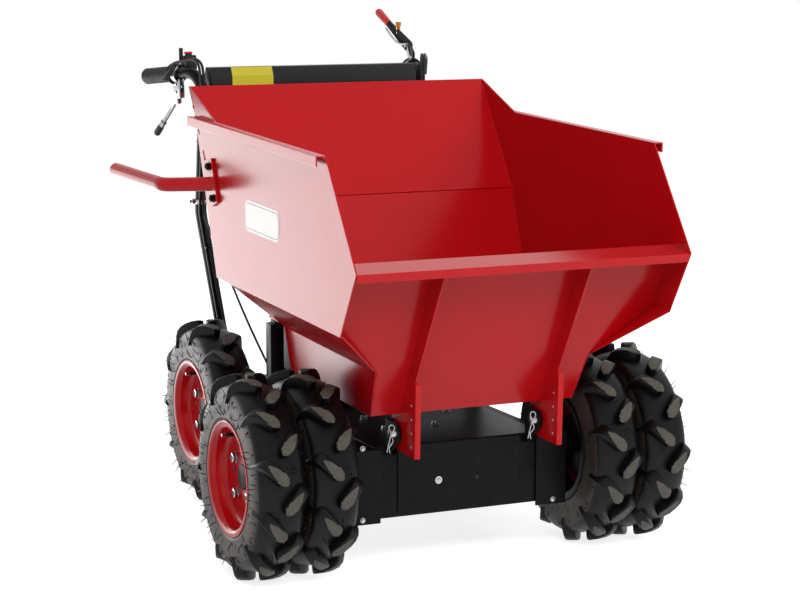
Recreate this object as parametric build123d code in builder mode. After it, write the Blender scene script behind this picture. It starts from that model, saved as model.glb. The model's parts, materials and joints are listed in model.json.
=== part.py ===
"""Walk-behind site dumper: six wheels, black chassis with an engine at the back and a red steel tub that tips
forwards over the front wheels. Units are millimetres, +Z is up, the machine drives towards -Y, and the origin
is on the ground at the middle of its length and width."""

import os
from math import atan2, cos, radians, sin, sqrt

from build123d import *

os.makedirs("parts", exist_ok=True)

# Wheels: 4.00-8 tractor-tread tyres on pressed steel wheels, twins at the front and singles at the back.
tyre_radius = 204.0
tyre_widest_half = 50.0
tyre_bead_half = 46.0
lug_height = 19.0
lug_width = 24.0
lug_slant = 46.0
lugs_a_side = 11
tyre_sides = 2 * lugs_a_side
rim_radius = 101.5
rim_flange_radius = 115.0
rim_sheet = 3.0
disc_offset = 5.0
disc_thickness = 4.0
hub_bore_radius = 25.0
hub_shaft_radius = 20.0
hub_flange_radius = 65.0
hub_flange_thickness = 9.0
spacer_radius = 45.0
fit_gap = 0.3

front_axle_y = -310.0
wheelbase = 637.0
inner_wheel_x = 308.0
twin_spacing = 112.0
rear_wheel_x = 276.0
axle_z = tyre_radius
rear_axle_y = front_axle_y + wheelbase

# Chassis: two tubes between the chain cases, a folded front beam and a flat deck under the tub.
case_inner_x = 152.0
case_width = 62.0
case_front_reach = 60.0
case_bottom = 108.0
case_top = 250.0
case_end_radius = 64.0
case_boss_radius = 40.0
case_boss_length = 8.0
rail_width = 40.0
rail_height = 60.0
deck_sheet = 4.0
deck_half_width = 186.0
beam_sheet = 4.0
beam_half_width = 242.0
beam_bottom = 108.0
beam_front_reach = 68.0
cover_half_width = 136.0
cover_bottom = 117.0
cover_sheet = 4.0
guard_inner_x = 173.0
guard_bottom = 100.0
rear_beam_depth = 30.0
rear_beam_half_width = 205.0
rear_overhang = 123.0

deck_top = case_top + deck_sheet
frame_front_y = front_axle_y - beam_front_reach
frame_rear_y = rear_axle_y + rear_overhang

# Tub: measured in its own frame, along (a) and up (h) from the tipping pivot, which leans back at rest.
pivot_ahead = 114.0
tub_offset = 7.0
pivot_z = 290.0
tub_lean = 2.0
sheet = 3.0
tub_half_width = 352.0
box_half_top = 233.0
box_half_floor = 222.0
floor_h = 38.0
box_h = 136.0
side_bottom_h = 233.0
rim_h = 560.0
floor_front_a = 2.0
front_top_a = -154.0
front_top_h = 370.0
lip_a = -226.0
lip_h = 362.0
lip_turn = 17.0
floor_rear_a = 412.0
box_rear_a = 425.0
back_bend_a = 528.0
back_bend_h = 396.0
back_top_a = 692.0
back_top_h = 620.0
side_front_low_a = -154.0
side_rear_low_a = 516.0
rim_front_a = -75.0
peak_front_a = 523.0
rim_out = 18.0
rim_drop = 20.0

bracket_thickness = 5.0
bracket_left_x = -160.0
bracket_right_x = 150.0
bracket_flange = 12.0
bracket_front_a = -70.0
bracket_top_h = 112.0
bracket_nose_radius = 36.0
rib_top_a = -203.0
pin_radius = 8.0
pin_clearance = 0.1
ear_thickness = 6.0
ear_gap = 3.0
ear_radius = 20.0
ear_top_z = 312.0
ear_bottom_z = 236.0

pivot_y = front_axle_y - pivot_ahead

post_size = 30.0
post_x = 235.0
post_gap = 18.0
pad_thickness = 6.0
tab_thickness = 4.0
tab_depth = 50.0

# Handlebars
bar_radius = 13.0
bar_foot_x = 190.0
bar_x = 262.0
bar_knee_z = 640.0
bar_knee_lean = -17.0
bar_top_z = 958.0
bar_top_lean = -57.0
grip_x = 322.0
grip_reach = 160.0
grip_z = 937.0
grip_radius = 18.0
grip_length = 112.0
grip_flange_radius = 25.0
grip_flange = 4.0
grip_cap = 4.0
clutch_reach = 70.0
clutch_rise = 54.0
clamp_wall = 7.0
clamp_width = 16.0
clamp_gap = 1.0
switch_half_length = 12.0
lever_radius = 5.0
sleeve_radius = 7.5
cable_radius = 3.0
cable_spread = 7.5
console_depth = 52.0
console_height = 62.0
console_break = 20.0
console_slope = 10.0

# Engine: a single-cylinder petrol engine with its shaft across the machine.
engine_plate_gap = 20.0
case_to_rear = 118.0
engine_width = 150.0
engine_length = 150.0
engine_height = 150.0
engine_foot = 10.0
shaft_height = 106.0
cylinder_rise = 25.0
head_width = 116.0
head_reach = 158.0
fin_count = 7
fin_pitch = 10.0
fin_thickness = 3.0
fin_reach = 12.0
valve_cover_depth = 16.0
fan_radius = 92.0
fan_depth = 58.0
starter_radius = 66.0
starter_depth = 26.0
starter_slots = 10
tank_gap = 12.0
tank_width = 230.0
tank_depth = 160.0
tank_height = 88.0
tank_shift = 12.0
cap_radius = 32.0
head_foot = 8.0
guard_slats = 5
silencer_width = 118.0
silencer_depth = 84.0
silencer_height = 96.0
cleaner_width = 104.0
cleaner_height = 104.0
belt_radius = 72.0
belt_small_radius = 48.0
belt_run = 120.0
belt_depth = 44.0
gearbox_share = 0.45
gearbox_length = 170.0
gearbox_height = 120.0

lean = radians(tub_lean)


def view_from_right(x=0.0):
    """Plane across the machine at x, whose own axes are the machine's Y and Z."""
    return Plane(origin=(x, 0, 0), x_dir=(0, 1, 0), z_dir=(1, 0, 0))


def tub_side_view(x=0.0):
    """Plane across the tub at x, whose own axes run along the tub and up from its pivot."""
    return Plane(origin=tub_point(x, 0, 0), x_dir=(0, cos(lean), sin(lean)), z_dir=(1, 0, 0))


def tub_cross_view(a):
    """Plane at a along the tub, whose own axes are X and up, facing forwards."""
    origin = tub_point(0, a, 0)
    return Plane(origin=origin, x_dir=(1, 0, 0), z_dir=(0, -cos(lean), -sin(lean)))


def tub_point(x, a, h):
    """Point of the machine at x from the tub's middle, a along and h up in the tub's frame."""
    return Vector(tub_offset + x, pivot_y + a * cos(lean) - h * sin(lean), pivot_z + a * sin(lean) + h * cos(lean))


def beside(points, distance):
    """The open outline moved to its left by distance, with its corners mitred: a bent sheet's other face."""
    spots = [Vector(*point) for point in points]
    runs = [(end - start).normalized() for start, end in zip(spots, spots[1:])]
    normals = [Vector(-run.Y, run.X) for run in runs]
    before, after = [normals[0], *normals], [*normals, normals[-1]]
    moved = [
        spot + (one + two) * (distance / (1 + one.dot(two)))
        for spot, one, two in zip(spots, before, after)
    ]
    return [(spot.X, spot.Y) for spot in moved]


def strip(points, distance):
    """Closed outline of a bent sheet from one face's points and its thickness."""
    return [*points, *reversed(beside(points, distance))]


def a_at(start, end, h):
    """Where the line through start and end stands at height h."""
    share = (h - start[1]) / (end[1] - start[1])
    return start[0] + share * (end[0] - start[0])


def h_at(start, end, a):
    """Height of the line through start and end at a."""
    share = (a - start[0]) / (end[0] - start[0])
    return start[1] + share * (end[1] - start[1])


# ---------------------------------------------------------------- wheels
bead_radius = rim_radius + fit_gap
crown_radius = tyre_radius - lug_height
side_radius = (crown_radius + rim_flange_radius) / 2
turn = 360.0 / lugs_a_side
# place along the axle and distance of the flat from it, round half of the carcass's section
carcass_half = (
    (tyre_bead_half, bead_radius),
    (tyre_bead_half, rim_flange_radius + 3 * fit_gap),
    (tyre_widest_half, side_radius),
    (0.62 * tyre_widest_half, crown_radius),
)
# A lug runs from its nose on the tread's middle line to the shoulder: place along it and height over the axle.
lug_reach = (tyre_widest_half + 4.0 - lug_width / 2 * sin(radians(lug_slant))) / cos(radians(lug_slant))
lug_outline = (
    (-3.0, crown_radius - 8.0),
    (2.0, tyre_radius - 0.4),
    (lug_reach - 4.0, crown_radius - 3.0),
    (lug_reach, side_radius + 3.0),
)

# One tyre about the X axis: flat-topped wedges round the axle, and two rows of slanting lugs half a pitch apart.
with BuildPart() as wedge:
    with BuildSketch(Plane.XZ):
        with BuildLine():
            Polyline(*carcass_half, *((-x, r) for x, r in reversed(carcass_half)), close=True)
        make_face()
    extrude(amount=crown_radius, both=True)
    for end in (-1, 1):
        edge = Plane.XZ.rotated((end * 180 / tyre_sides, 0, 0))
        split(bisect_by=edge, keep=Keep.BOTTOM if end > 0 else Keep.TOP)
with BuildPart() as tyre_model:
    for number in range(tyre_sides):
        add(wedge.part.rotate(Axis.X, number * 360 / tyre_sides))
    for row, first in ((1, 0.0), (-1, turn / 2)):
        for number in range(lugs_a_side):
            slant = radians(lug_slant)
            lug_plane = Plane(origin=(0, 0, 0), x_dir=(row * cos(slant), sin(slant), 0), z_dir=(-sin(slant), row * cos(slant), 0))
            with BuildSketch(lug_plane.rotated((first + number * turn, 0, 0))):
                with BuildLine():
                    Polyline(*lug_outline, close=True)
                make_face()
            extrude(amount=lug_width / 2, both=True)

rim_half = tyre_bead_half + fit_gap

# One row per wheel set: name, side (-1 is -X), axle y, wheel centres from the machine's middle.
wheel_sets = (
    ("front_left", 1, front_axle_y, (inner_wheel_x, inner_wheel_x + twin_spacing)),
    ("front_right", -1, front_axle_y, (inner_wheel_x, inner_wheel_x + twin_spacing)),
    ("rear_left", 1, rear_axle_y, (rear_wheel_x,)),
    ("rear_right", -1, rear_axle_y, (rear_wheel_x,)),
)
boss_face_x = case_inner_x + case_width + case_boss_length


def axle_plane(side, axle_y, x):
    """Plane whose own Y is the radius and whose own X points outwards along an axle."""
    return Plane(origin=(side * x, axle_y, axle_z), x_dir=(side, 0, 0), z_dir=(0, -side, 0))


for name, side, axle_y, centres in wheel_sets:
    axle = Axis((0, axle_y, axle_z), (1, 0, 0))

    with BuildPart() as tyres:
        with Locations(*((side * centre, axle_y, axle_z) for centre in centres)):
            add(tyre_model.part)
    tyres.part.label = f"tyres_{name}"
    export_step(tyres.part, f"parts/tyres_{name}.step")

    with BuildPart() as rims:
        for centre in centres:
            with BuildSketch(axle_plane(side, axle_y, centre)):
                with BuildLine():
                    Polyline(
                        (-rim_half - rim_sheet, rim_flange_radius),
                        (-rim_half, rim_flange_radius),
                        (-rim_half, rim_radius),
                        (rim_half, rim_radius),
                        (rim_half, rim_flange_radius),
                        (rim_half + rim_sheet, rim_flange_radius),
                        (rim_half + rim_sheet, rim_radius - rim_sheet),
                        (disc_offset + disc_thickness, rim_radius - rim_sheet),
                        (disc_offset + disc_thickness, hub_bore_radius),
                        (disc_offset, hub_bore_radius),
                        (disc_offset, rim_radius - rim_sheet),
                        (-rim_half - rim_sheet, rim_radius - rim_sheet),
                        close=True,
                    )
                make_face()
            revolve(axis=axle)
    rims.part.label = f"rims_{name}"
    export_step(rims.part, f"parts/rims_{name}.step")

    # The hub is one turned piece: shaft, flange behind the first disc, and a spacer to a twin's disc.
    start = boss_face_x + fit_gap
    first_disc = centres[0] + disc_offset
    hub_outline = [
        (start, 0),
        (start, hub_shaft_radius),
        (first_disc - fit_gap - hub_flange_thickness, hub_shaft_radius),
        (first_disc - fit_gap - hub_flange_thickness, hub_flange_radius),
        (first_disc - fit_gap, hub_flange_radius),
        (first_disc - fit_gap, hub_bore_radius - fit_gap),
    ]
    for centre in centres[1:]:
        hub_outline += [
            (first_disc + disc_thickness + fit_gap, hub_bore_radius - fit_gap),
            (first_disc + disc_thickness + fit_gap, spacer_radius),
            (centre + disc_offset - fit_gap, spacer_radius),
            (centre + disc_offset - fit_gap, hub_bore_radius - fit_gap),
        ]
    nose = centres[-1] + disc_offset + disc_thickness + hub_flange_thickness
    hub_outline += [(nose, hub_bore_radius - fit_gap), (nose, 0)]
    with BuildPart() as hub:
        with BuildSketch(axle_plane(side, axle_y, 0)):
            with BuildLine():
                Polyline(*hub_outline, close=True)
            make_face()
        revolve(axis=axle)
    hub.part.label = f"hub_{name}"
    export_step(hub.part, f"parts/hub_{name}.step")

# ---------------------------------------------------------------- chassis
tab_h = box_h + 8.0
post_y = tub_point(0, box_rear_a + post_gap + post_size / 2 + 2, tab_h).Y
deck_rear_y = post_y - post_size / 2
rail_x = case_inner_x - rail_width / 2
rail_length = frame_rear_y - rear_beam_depth - (frame_front_y + beam_sheet)
rail_middle_y = frame_front_y + beam_sheet + rail_length / 2

with BuildPart() as frame_rails:
    for side in (-1, 1):
        with Locations((side * rail_x, rail_middle_y, case_top - rail_height / 2)):
            Box(rail_width, rail_length, rail_height)
frame_rails.part.label = "frame_rails"
export_step(frame_rails.part, "parts/frame_rails.step")

with BuildPart() as front_beam:
    with Locations((0, frame_front_y + beam_sheet / 2, (beam_bottom + case_top) / 2)):
        Box(2 * beam_half_width, beam_sheet, case_top - beam_bottom)
front_beam.part.label = "front_beam"
export_step(front_beam.part, "parts/front_beam.step")

with BuildPart() as rear_beam:
    with Locations((0, frame_rear_y - rear_beam_depth / 2, case_top - rail_height / 2)):
        Box(2 * rear_beam_half_width, rear_beam_depth, rail_height)
rear_beam.part.label = "rear_beam"
export_step(rear_beam.part, "parts/rear_beam.step")

with BuildPart() as deck_plate:
    with Locations((0, (frame_front_y + deck_rear_y) / 2, case_top + deck_sheet / 2)):
        Box(2 * deck_half_width, deck_rear_y - frame_front_y, deck_sheet)
deck_plate.part.label = "deck_plate"
export_step(deck_plate.part, "parts/deck_plate.step")

with BuildPart() as front_cover:
    with Locations((0, frame_front_y - cover_sheet / 2, (cover_bottom + deck_top) / 2)):
        Box(2 * cover_half_width, cover_sheet, deck_top - cover_bottom)
    fillet(front_cover.edges().filter_by(Axis.X).group_by(Axis.Z)[-1].sort_by(Axis.Y)[0], cover_sheet - 0.5)
front_cover.part.label = "front_cover"
export_step(front_cover.part, "parts/front_cover.step")

guard_width = beam_half_width - guard_inner_x
with BuildPart() as guard_plates:
    for side in (-1, 1):
        guard_x = side * (guard_inner_x + guard_width / 2)
        with Locations((guard_x, frame_front_y - cover_sheet / 2, (guard_bottom + case_top) / 2)):
            Box(guard_width, cover_sheet, case_top - guard_bottom)
guard_plates.part.label = "guard_plates"
export_step(guard_plates.part, "parts/guard_plates.step")

case_front_y = front_axle_y - case_front_reach
case_middle_x = case_inner_x + case_width / 2
for name, side in (("left", 1), ("right", -1)):
    with BuildPart() as drive_case:
        with BuildSketch(view_from_right(side * case_middle_x)):
            with BuildLine():
                Polyline(
                    (rear_axle_y, case_top),
                    (case_front_y, case_top),
                    (case_front_y, case_bottom),
                    (front_axle_y, case_bottom),
                    (rear_axle_y, axle_z - case_end_radius),
                )
                ThreePointArc(
                    (rear_axle_y, axle_z - case_end_radius),
                    (rear_axle_y + case_end_radius, axle_z),
                    (rear_axle_y, axle_z + case_end_radius),
                )
                Line((rear_axle_y, axle_z + case_end_radius), (rear_axle_y, case_top))
            make_face()
        extrude(amount=case_width / 2, both=True)
        for axle_y in (front_axle_y, rear_axle_y):
            boss_root = (side * (boss_face_x - case_boss_length), axle_y, axle_z)
            with BuildSketch(Plane(origin=boss_root, z_dir=(side, 0, 0))):
                Circle(case_boss_radius)
            extrude(amount=case_boss_length)
    drive_case.part.label = f"drive_case_{name}"
    export_step(drive_case.part, f"parts/drive_case_{name}.step")

# ---------------------------------------------------------------- tipping pivot
bracket_lefts = (bracket_left_x, bracket_right_x)
ear_spots = [
    spot
    for x in bracket_lefts
    for spot in (x - ear_gap - ear_thickness, x + bracket_thickness + ear_gap)
]
with BuildPart() as pivot_ears:
    for x in ear_spots:
        with BuildSketch(view_from_right(tub_offset + x)):
            with Locations((pivot_y, pivot_z)):
                Circle(ear_radius)
            with Locations((frame_front_y - beam_sheet / 2, (ear_top_z + ear_bottom_z) / 2)):
                Rectangle(beam_sheet, ear_top_z - ear_bottom_z)
            make_hull()
            with Locations((pivot_y, pivot_z)):
                Circle(pin_radius + pin_clearance, mode=Mode.SUBTRACT)
        extrude(amount=ear_thickness)
pivot_ears.part.label = "pivot_ears"
export_step(pivot_ears.part, "parts/pivot_ears.step")

pin_overhang = 12.0
pin_span = 2 * (ear_gap + ear_thickness + pin_overhang) + bracket_thickness
with BuildPart() as pivot_pins:
    for x in bracket_lefts:
        pin_start = tub_offset + x - ear_gap - ear_thickness - pin_overhang
        with BuildSketch(view_from_right(pin_start)):
            with Locations((pivot_y, pivot_z)):
                Circle(pin_radius)
        extrude(amount=pin_span)
        with BuildSketch(view_from_right(pin_start + pin_span)):
            with Locations((pivot_y, pivot_z)):
                Circle(pin_radius + 3)
        extrude(amount=4)
pivot_pins.part.label = "pivot_pins"
export_step(pivot_pins.part, "parts/pivot_pins.step")

# ---------------------------------------------------------------- tub
hopper_points = (
    (box_half_floor, floor_h),
    (box_half_top, box_h),
    (tub_half_width - sheet, side_bottom_h),
)
hopper_inner = beside(hopper_points, sheet)
front_points = (
    (floor_front_a, floor_h),
    (front_top_a, front_top_h),
    (lip_a, lip_h),
    (lip_a + 4, lip_h - lip_turn),
)
front_outer = beside(front_points, sheet)
back_points = (
    (back_top_a, back_top_h),
    (back_bend_a, back_bend_h),
    (box_rear_a, box_h),
    (floor_rear_a, floor_h),
)
back_outer = beside(back_points, sheet)
tub_ahead = -300.0
tub_behind = 760.0
wing_slope = (side_bottom_h - box_h) / (tub_half_width - sheet - box_half_top)
rim_rear_a = a_at(back_outer[0], back_outer[1], rim_h)


inner_top = h_at(hopper_inner[1], hopper_inner[2], tub_half_width - sheet)
inside_half = (
    hopper_inner[0],
    hopper_inner[1],
    (tub_half_width - sheet, inner_top),
    (tub_half_width - sheet, back_top_h + 2 * rim_drop),
)
with BuildPart() as tub_space:
    with BuildSketch(tub_cross_view(tub_behind)):
        with BuildLine():
            Polyline(*inside_half, *((-x, h) for x, h in reversed(inside_half)), close=True)
        make_face()
    extrude(amount=tub_behind - tub_ahead)

with BuildPart() as tub_front:
    with BuildSketch(tub_side_view()):
        with BuildLine():
            Polyline(*front_points, *reversed(front_outer), close=True)
        make_face()
    extrude(amount=tub_half_width, both=True)
    add(tub_space.part, mode=Mode.INTERSECT)
tub_front.part.label = "tub_front"
export_step(tub_front.part, "parts/tub_front.step")

with BuildPart() as tub_back:
    with BuildSketch(tub_side_view()):
        with BuildLine():
            Polyline(*back_points, *reversed(back_outer), close=True)
        make_face()
    extrude(amount=tub_half_width, both=True)
    add(tub_space.part, mode=Mode.INTERSECT)
    for side in (-1, 1):
        with BuildSketch(tub_side_view(side * (post_x - 6))):
            with BuildLine():
                Polyline(
                    (a_at(back_outer[1], back_outer[2], tab_h), tab_h),
                    (a_at(back_outer[1], back_outer[2], tab_h + tab_thickness), tab_h + tab_thickness),
                    (box_rear_a + post_gap + tab_depth, tab_h + tab_thickness),
                    (box_rear_a + post_gap + tab_depth, tab_h),
                    close=True,
                )
            make_face()
        extrude(amount=post_size / 2, both=True)
tub_back.part.label = "tub_back"
export_step(tub_back.part, "parts/tub_back.step")

with BuildPart() as tub_floor:
    with BuildSketch(tub_side_view()):
        with BuildLine():
            Polyline(
                (floor_front_a, floor_h),
                (floor_rear_a, floor_h),
                (a_at(back_points[3], back_points[2], floor_h + sheet), floor_h + sheet),
                (a_at(front_points[0], front_points[1], floor_h + sheet), floor_h + sheet),
                close=True,
            )
        make_face()
    extrude(amount=box_half_floor, both=True)
    add(tub_space.part, mode=Mode.INTERSECT)
tub_floor.part.label = "tub_floor"
export_step(tub_floor.part, "parts/tub_floor.step")

for name, side in (("left", 1), ("right", -1)):
    with BuildPart() as hopper_side:
        with BuildSketch(tub_cross_view(tub_behind)):
            with BuildLine():
                end_x = tub_half_width + 2 * sheet
                points = [
                    *hopper_points[:2],
                    (end_x, h_at(hopper_points[1], hopper_points[2], end_x)),
                    (end_x, h_at(hopper_inner[1], hopper_inner[2], end_x)),
                    hopper_inner[1],
                    (hopper_inner[0][0], hopper_inner[0][1]),
                ]
                Polyline(*((side * x, h) for x, h in points), close=True)
            make_face()
        extrude(amount=tub_behind - tub_ahead)
        with BuildSketch(tub_side_view()):
            with BuildLine():
                Polyline(
                    (front_outer[0][0], floor_h - sheet),
                    (a_at(front_outer[0], front_outer[1], box_h), box_h),
                    (side_front_low_a, side_bottom_h),
                    (side_front_low_a, side_bottom_h + 2 * sheet),
                    (a_at(back_outer[1], back_outer[2], side_bottom_h + 2 * sheet), side_bottom_h + 2 * sheet),
                    back_outer[2],
                    (back_outer[3][0], floor_h - sheet),
                    close=True,
                )
            make_face()
        extrude(amount=side * (tub_half_width - sheet), mode=Mode.INTERSECT)
    hopper_side.part.label = f"hopper_side_{name}"
    export_step(hopper_side.part, f"parts/hopper_side_{name}.step")

    with BuildPart() as tub_side:
        with BuildSketch(tub_side_view(side * (tub_half_width - sheet))):
            with BuildLine():
                Polyline(
                    (side_front_low_a, side_bottom_h),
                    (lip_a, lip_h),
                    (rim_front_a, rim_h),
                    (peak_front_a, rim_h),
                    back_points[0],
                    back_outer[0],
                    (rim_rear_a, rim_h),
                    (side_rear_low_a, side_bottom_h),
                    close=True,
                )
            make_face()
        extrude(amount=side * sheet)
        with BuildSketch(tub_cross_view(rim_rear_a)):
            with BuildLine():
                points = (
                    (tub_half_width, rim_h),
                    (tub_half_width + rim_out, rim_h),
                    (tub_half_width + rim_out, rim_h - rim_drop),
                    (tub_half_width + rim_out - sheet, rim_h - rim_drop),
                    (tub_half_width + rim_out - sheet, rim_h - sheet),
                    (tub_half_width, rim_h - sheet),
                )
                Polyline(*((side * x, h) for x, h in points), close=True)
            make_face()
        extrude(amount=rim_rear_a - rim_front_a)
    tub_side.part.label = f"tub_side_{name}"
    export_step(tub_side.part, f"parts/tub_side_{name}.step")

rib_foot = (bracket_front_a, bracket_top_h)
with BuildPart() as hinge_brackets:
    for x in bracket_lefts:
        with BuildSketch(tub_side_view(x)):
            with BuildLine():
                Polyline(
                    (bracket_nose_radius, 0),
                    (bracket_nose_radius, floor_h),
                    (a_at(front_outer[0], front_outer[1], floor_h), floor_h),
                    front_outer[1],
                    (rib_top_a, h_at(front_outer[1], front_outer[2], rib_top_a)),
                    rib_foot,
                    (bracket_front_a, -bracket_nose_radius),
                    (0, -bracket_nose_radius),
                )
                nose = bracket_nose_radius
                ThreePointArc((0, -nose), (nose * cos(radians(45)), -nose * sin(radians(45))), (nose, 0))
            make_face()
            Circle(pin_radius + pin_clearance, mode=Mode.SUBTRACT)
        extrude(amount=bracket_thickness)
        with BuildSketch(tub_side_view(x)):
            with Locations((bracket_front_a - bracket_thickness / 2, (bracket_top_h - nose) / 2)):
                Rectangle(bracket_thickness, bracket_top_h + nose)
        extrude(amount=bracket_flange)
hinge_brackets.part.label = "hinge_brackets"
export_step(hinge_brackets.part, "parts/hinge_brackets.step")

# The tipping handle is on the -X side plate: a flat bar bolted on, with a bent tube welded to it.
handle_bar_a = 531.0
handle_bar_h = 433.0
handle_bar_turn = -23.0
handle_bar_width = 34.0
handle_bar_length = 96.0
handle_bar_thickness = 6.0
handle_radius = 15.0
handle_face_x = -tub_half_width - handle_bar_thickness
# x, a, h of the tube's ends and its bend
handle_route = (
    (handle_face_x + 20, handle_bar_a - 8, handle_bar_h - 3),
    (handle_face_x - 86, handle_bar_a + 60, handle_bar_h - 9),
    (handle_face_x - 116, handle_bar_a + 298, handle_bar_h - 5),
)
with BuildPart() as tip_handle:
    with BuildSketch(tub_side_view(-tub_half_width)):
        with Locations((handle_bar_a, handle_bar_h)):
            Rectangle(handle_bar_width, handle_bar_length, rotation=handle_bar_turn)
    extrude(amount=-handle_bar_thickness)
    with BuildLine() as handle_path:
        FilletPolyline(*(tub_point(*point) for point in handle_route), radius=35)
    with BuildSketch(Plane(origin=handle_path.line @ 0, z_dir=handle_path.line % 0)):
        Circle(handle_radius)
    sweep()
    split(bisect_by=Plane.YZ.offset(tub_offset - tub_half_width), keep=Keep.BOTTOM)
tip_handle.part.label = "tip_handle"
export_step(tip_handle.part, "parts/tip_handle.step")

# ---------------------------------------------------------------- tub rest
rest_beam_top = case_top + post_size
with BuildPart() as rest_beam:
    with Locations((0, post_y, case_top + post_size / 2)):
        Box(2 * post_x + post_size, post_size, post_size)
rest_beam.part.label = "rest_beam"
export_step(rest_beam.part, "parts/rest_beam.step")

pad_bottom_h = tab_h - pad_thickness
with BuildPart() as rest_posts:
    for side in (-1, 1):
        with BuildSketch(view_from_right(side * post_x)):
            front_y, back_y = post_y - post_size / 2, post_y + post_size / 2
            tops = [
                pivot_z + pad_bottom_h * cos(lean) + (y - pivot_y + pad_bottom_h * sin(lean)) * sin(lean) / cos(lean)
                for y in (front_y, back_y)
            ]
            with BuildLine():
                Polyline(
                    (front_y, rest_beam_top), (back_y, rest_beam_top), (back_y, tops[1]), (front_y, tops[0]), close=True
                )
            make_face()
        extrude(amount=post_size / 2, both=True)
rest_posts.part.label = "rest_posts"
export_step(rest_posts.part, "parts/rest_posts.step")

pad_a = (post_y - pivot_y) * cos(lean) + (tops[0] - pivot_z) * sin(lean)
with BuildPart() as rest_pads:
    for side in (-1, 1):
        with BuildSketch(tub_side_view(side * post_x)):
            with Locations((pad_a, tab_h - pad_thickness / 2 - fit_gap / 2)):
                Rectangle(post_size - 6, pad_thickness - fit_gap)
        extrude(amount=post_size / 2 - 3, both=True)
rest_pads.part.label = "rest_pads"
export_step(rest_pads.part, "parts/rest_pads.step")

# ---------------------------------------------------------------- engine and gearbox
engine_plate_front_y = post_y + post_size / 2 + engine_plate_gap
engine_plate_length = frame_rear_y - rear_beam_depth - engine_plate_front_y
with BuildPart() as engine_plate:
    with Locations((0, engine_plate_front_y + engine_plate_length / 2, case_top + deck_sheet / 2)):
        Box(2 * case_inner_x, engine_plate_length, deck_sheet)
engine_plate.part.label = "engine_plate"
export_step(engine_plate.part, "parts/engine_plate.step")

# Crankcase on its feet, with the finned cylinder leaning back from the shaft.
engine_y = frame_rear_y - rear_beam_depth - case_to_rear
shaft_z = deck_top + shaft_height
cylinder = Plane(
    origin=(0, engine_y, shaft_z),
    x_dir=(1, 0, 0),
    z_dir=(0, cos(radians(cylinder_rise)), sin(radians(cylinder_rise))),
)
with BuildPart() as engine_block:
    with Locations((0, engine_y, deck_top + engine_foot / 2)):
        Box(engine_width + 10, engine_length + 16, engine_foot)
    with Locations((0, engine_y, deck_top + engine_height / 2)):
        Box(engine_width, engine_length, engine_height)
    with BuildSketch(cylinder):
        RectangleRounded(head_width - 2 * fin_reach, head_width - 2 * fin_reach, 14)
    extrude(amount=head_reach)
    for number in range(fin_count):
        with BuildSketch(cylinder.offset(head_reach - fin_pitch * (number + 1))):
            RectangleRounded(head_width, head_width, 14)
        extrude(amount=fin_thickness)
    with BuildSketch(cylinder.offset(head_reach)):
        RectangleRounded(head_width - fin_reach, head_width - fin_reach, 12)
    extrude(amount=valve_cover_depth)
engine_block.part.label = "engine_block"
export_step(engine_block.part, "parts/engine_block.step")

# The fan housing is a drum about the shaft that widens over the cylinder.
fan_x = engine_width / 2 + fit_gap
with BuildPart() as fan_housing:
    with BuildSketch(view_from_right(fan_x)):
        with Locations((engine_y, shaft_z)):
            Circle(fan_radius)
        with Locations((engine_y + head_reach - 42, shaft_z + 42)):
            Rectangle(64, 84)
        make_hull()
    extrude(amount=fan_depth)
    fillet(fan_housing.faces().sort_by(Axis.X)[-1].edges(), 12)
    with BuildSketch(view_from_right(fan_x + fan_depth)):
        with Locations((engine_y, shaft_z)):
            Circle(starter_radius - 8)
    extrude(amount=-fan_depth + 6, mode=Mode.SUBTRACT)
fan_housing.part.label = "fan_housing"
export_step(fan_housing.part, "parts/fan_housing.step")

# The recoil starter closes the drum: a dished cover with slots round its pulley and a grip for its rope.
starter_x = fan_x + fan_depth + fit_gap
with BuildPart() as recoil_starter:
    with BuildSketch(view_from_right(starter_x)):
        with Locations((engine_y, shaft_z)):
            Circle(starter_radius)
    extrude(amount=starter_depth)
    chamfer(recoil_starter.faces().sort_by(Axis.X)[-1].edges(), 8)
    with BuildSketch(view_from_right(starter_x + starter_depth)):
        with Locations((engine_y, shaft_z)):
            with PolarLocations(starter_radius - 27, starter_slots):
                SlotOverall(24, 7)
    extrude(amount=-starter_depth + 4, mode=Mode.SUBTRACT)
    with BuildSketch(view_from_right(starter_x + 4)):
        with Locations((engine_y - starter_radius + 2, shaft_z + starter_radius - 22)):
            RectangleRounded(16, 40, 7)
    extrude(amount=16)
recoil_starter.part.label = "recoil_starter"
export_step(recoil_starter.part, "parts/recoil_starter.step")

# The tank sits on two saddles in front of the cylinder.
tank_bottom = shaft_z + fan_radius + tank_gap
case_head_z = deck_top + engine_height
with BuildPart() as tank_saddles:
    for x in (-50, 40):
        with Locations((x, engine_y - 50, (case_head_z + tank_bottom) / 2)):
            Box(24, 40, tank_bottom - case_head_z - 2 * fit_gap)
tank_saddles.part.label = "tank_saddles"
export_step(tank_saddles.part, "parts/tank_saddles.step")

with BuildPart() as fuel_tank:
    with BuildSketch(Plane(origin=(tank_shift, engine_y - 6, tank_bottom))):
        RectangleRounded(tank_width, tank_depth, 34)
    extrude(amount=tank_height)
    fillet(fuel_tank.faces().sort_by(Axis.Z)[-1].edges(), 22)
    fillet(fuel_tank.faces().sort_by(Axis.Z)[0].edges(), 8)
fuel_tank.part.label = "fuel_tank"
export_step(fuel_tank.part, "parts/fuel_tank.step")

with BuildPart() as fuel_cap:
    with BuildSketch(Plane(origin=(tank_shift + 45, engine_y - 12, tank_bottom + tank_height + fit_gap))):
        RegularPolygon(cap_radius, 12)
    extrude(amount=16)
    chamfer(fuel_cap.faces().sort_by(Axis.Z)[-1].edges(), 3)
fuel_cap.part.label = "fuel_cap"
export_step(fuel_cap.part, "parts/fuel_cap.step")

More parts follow.
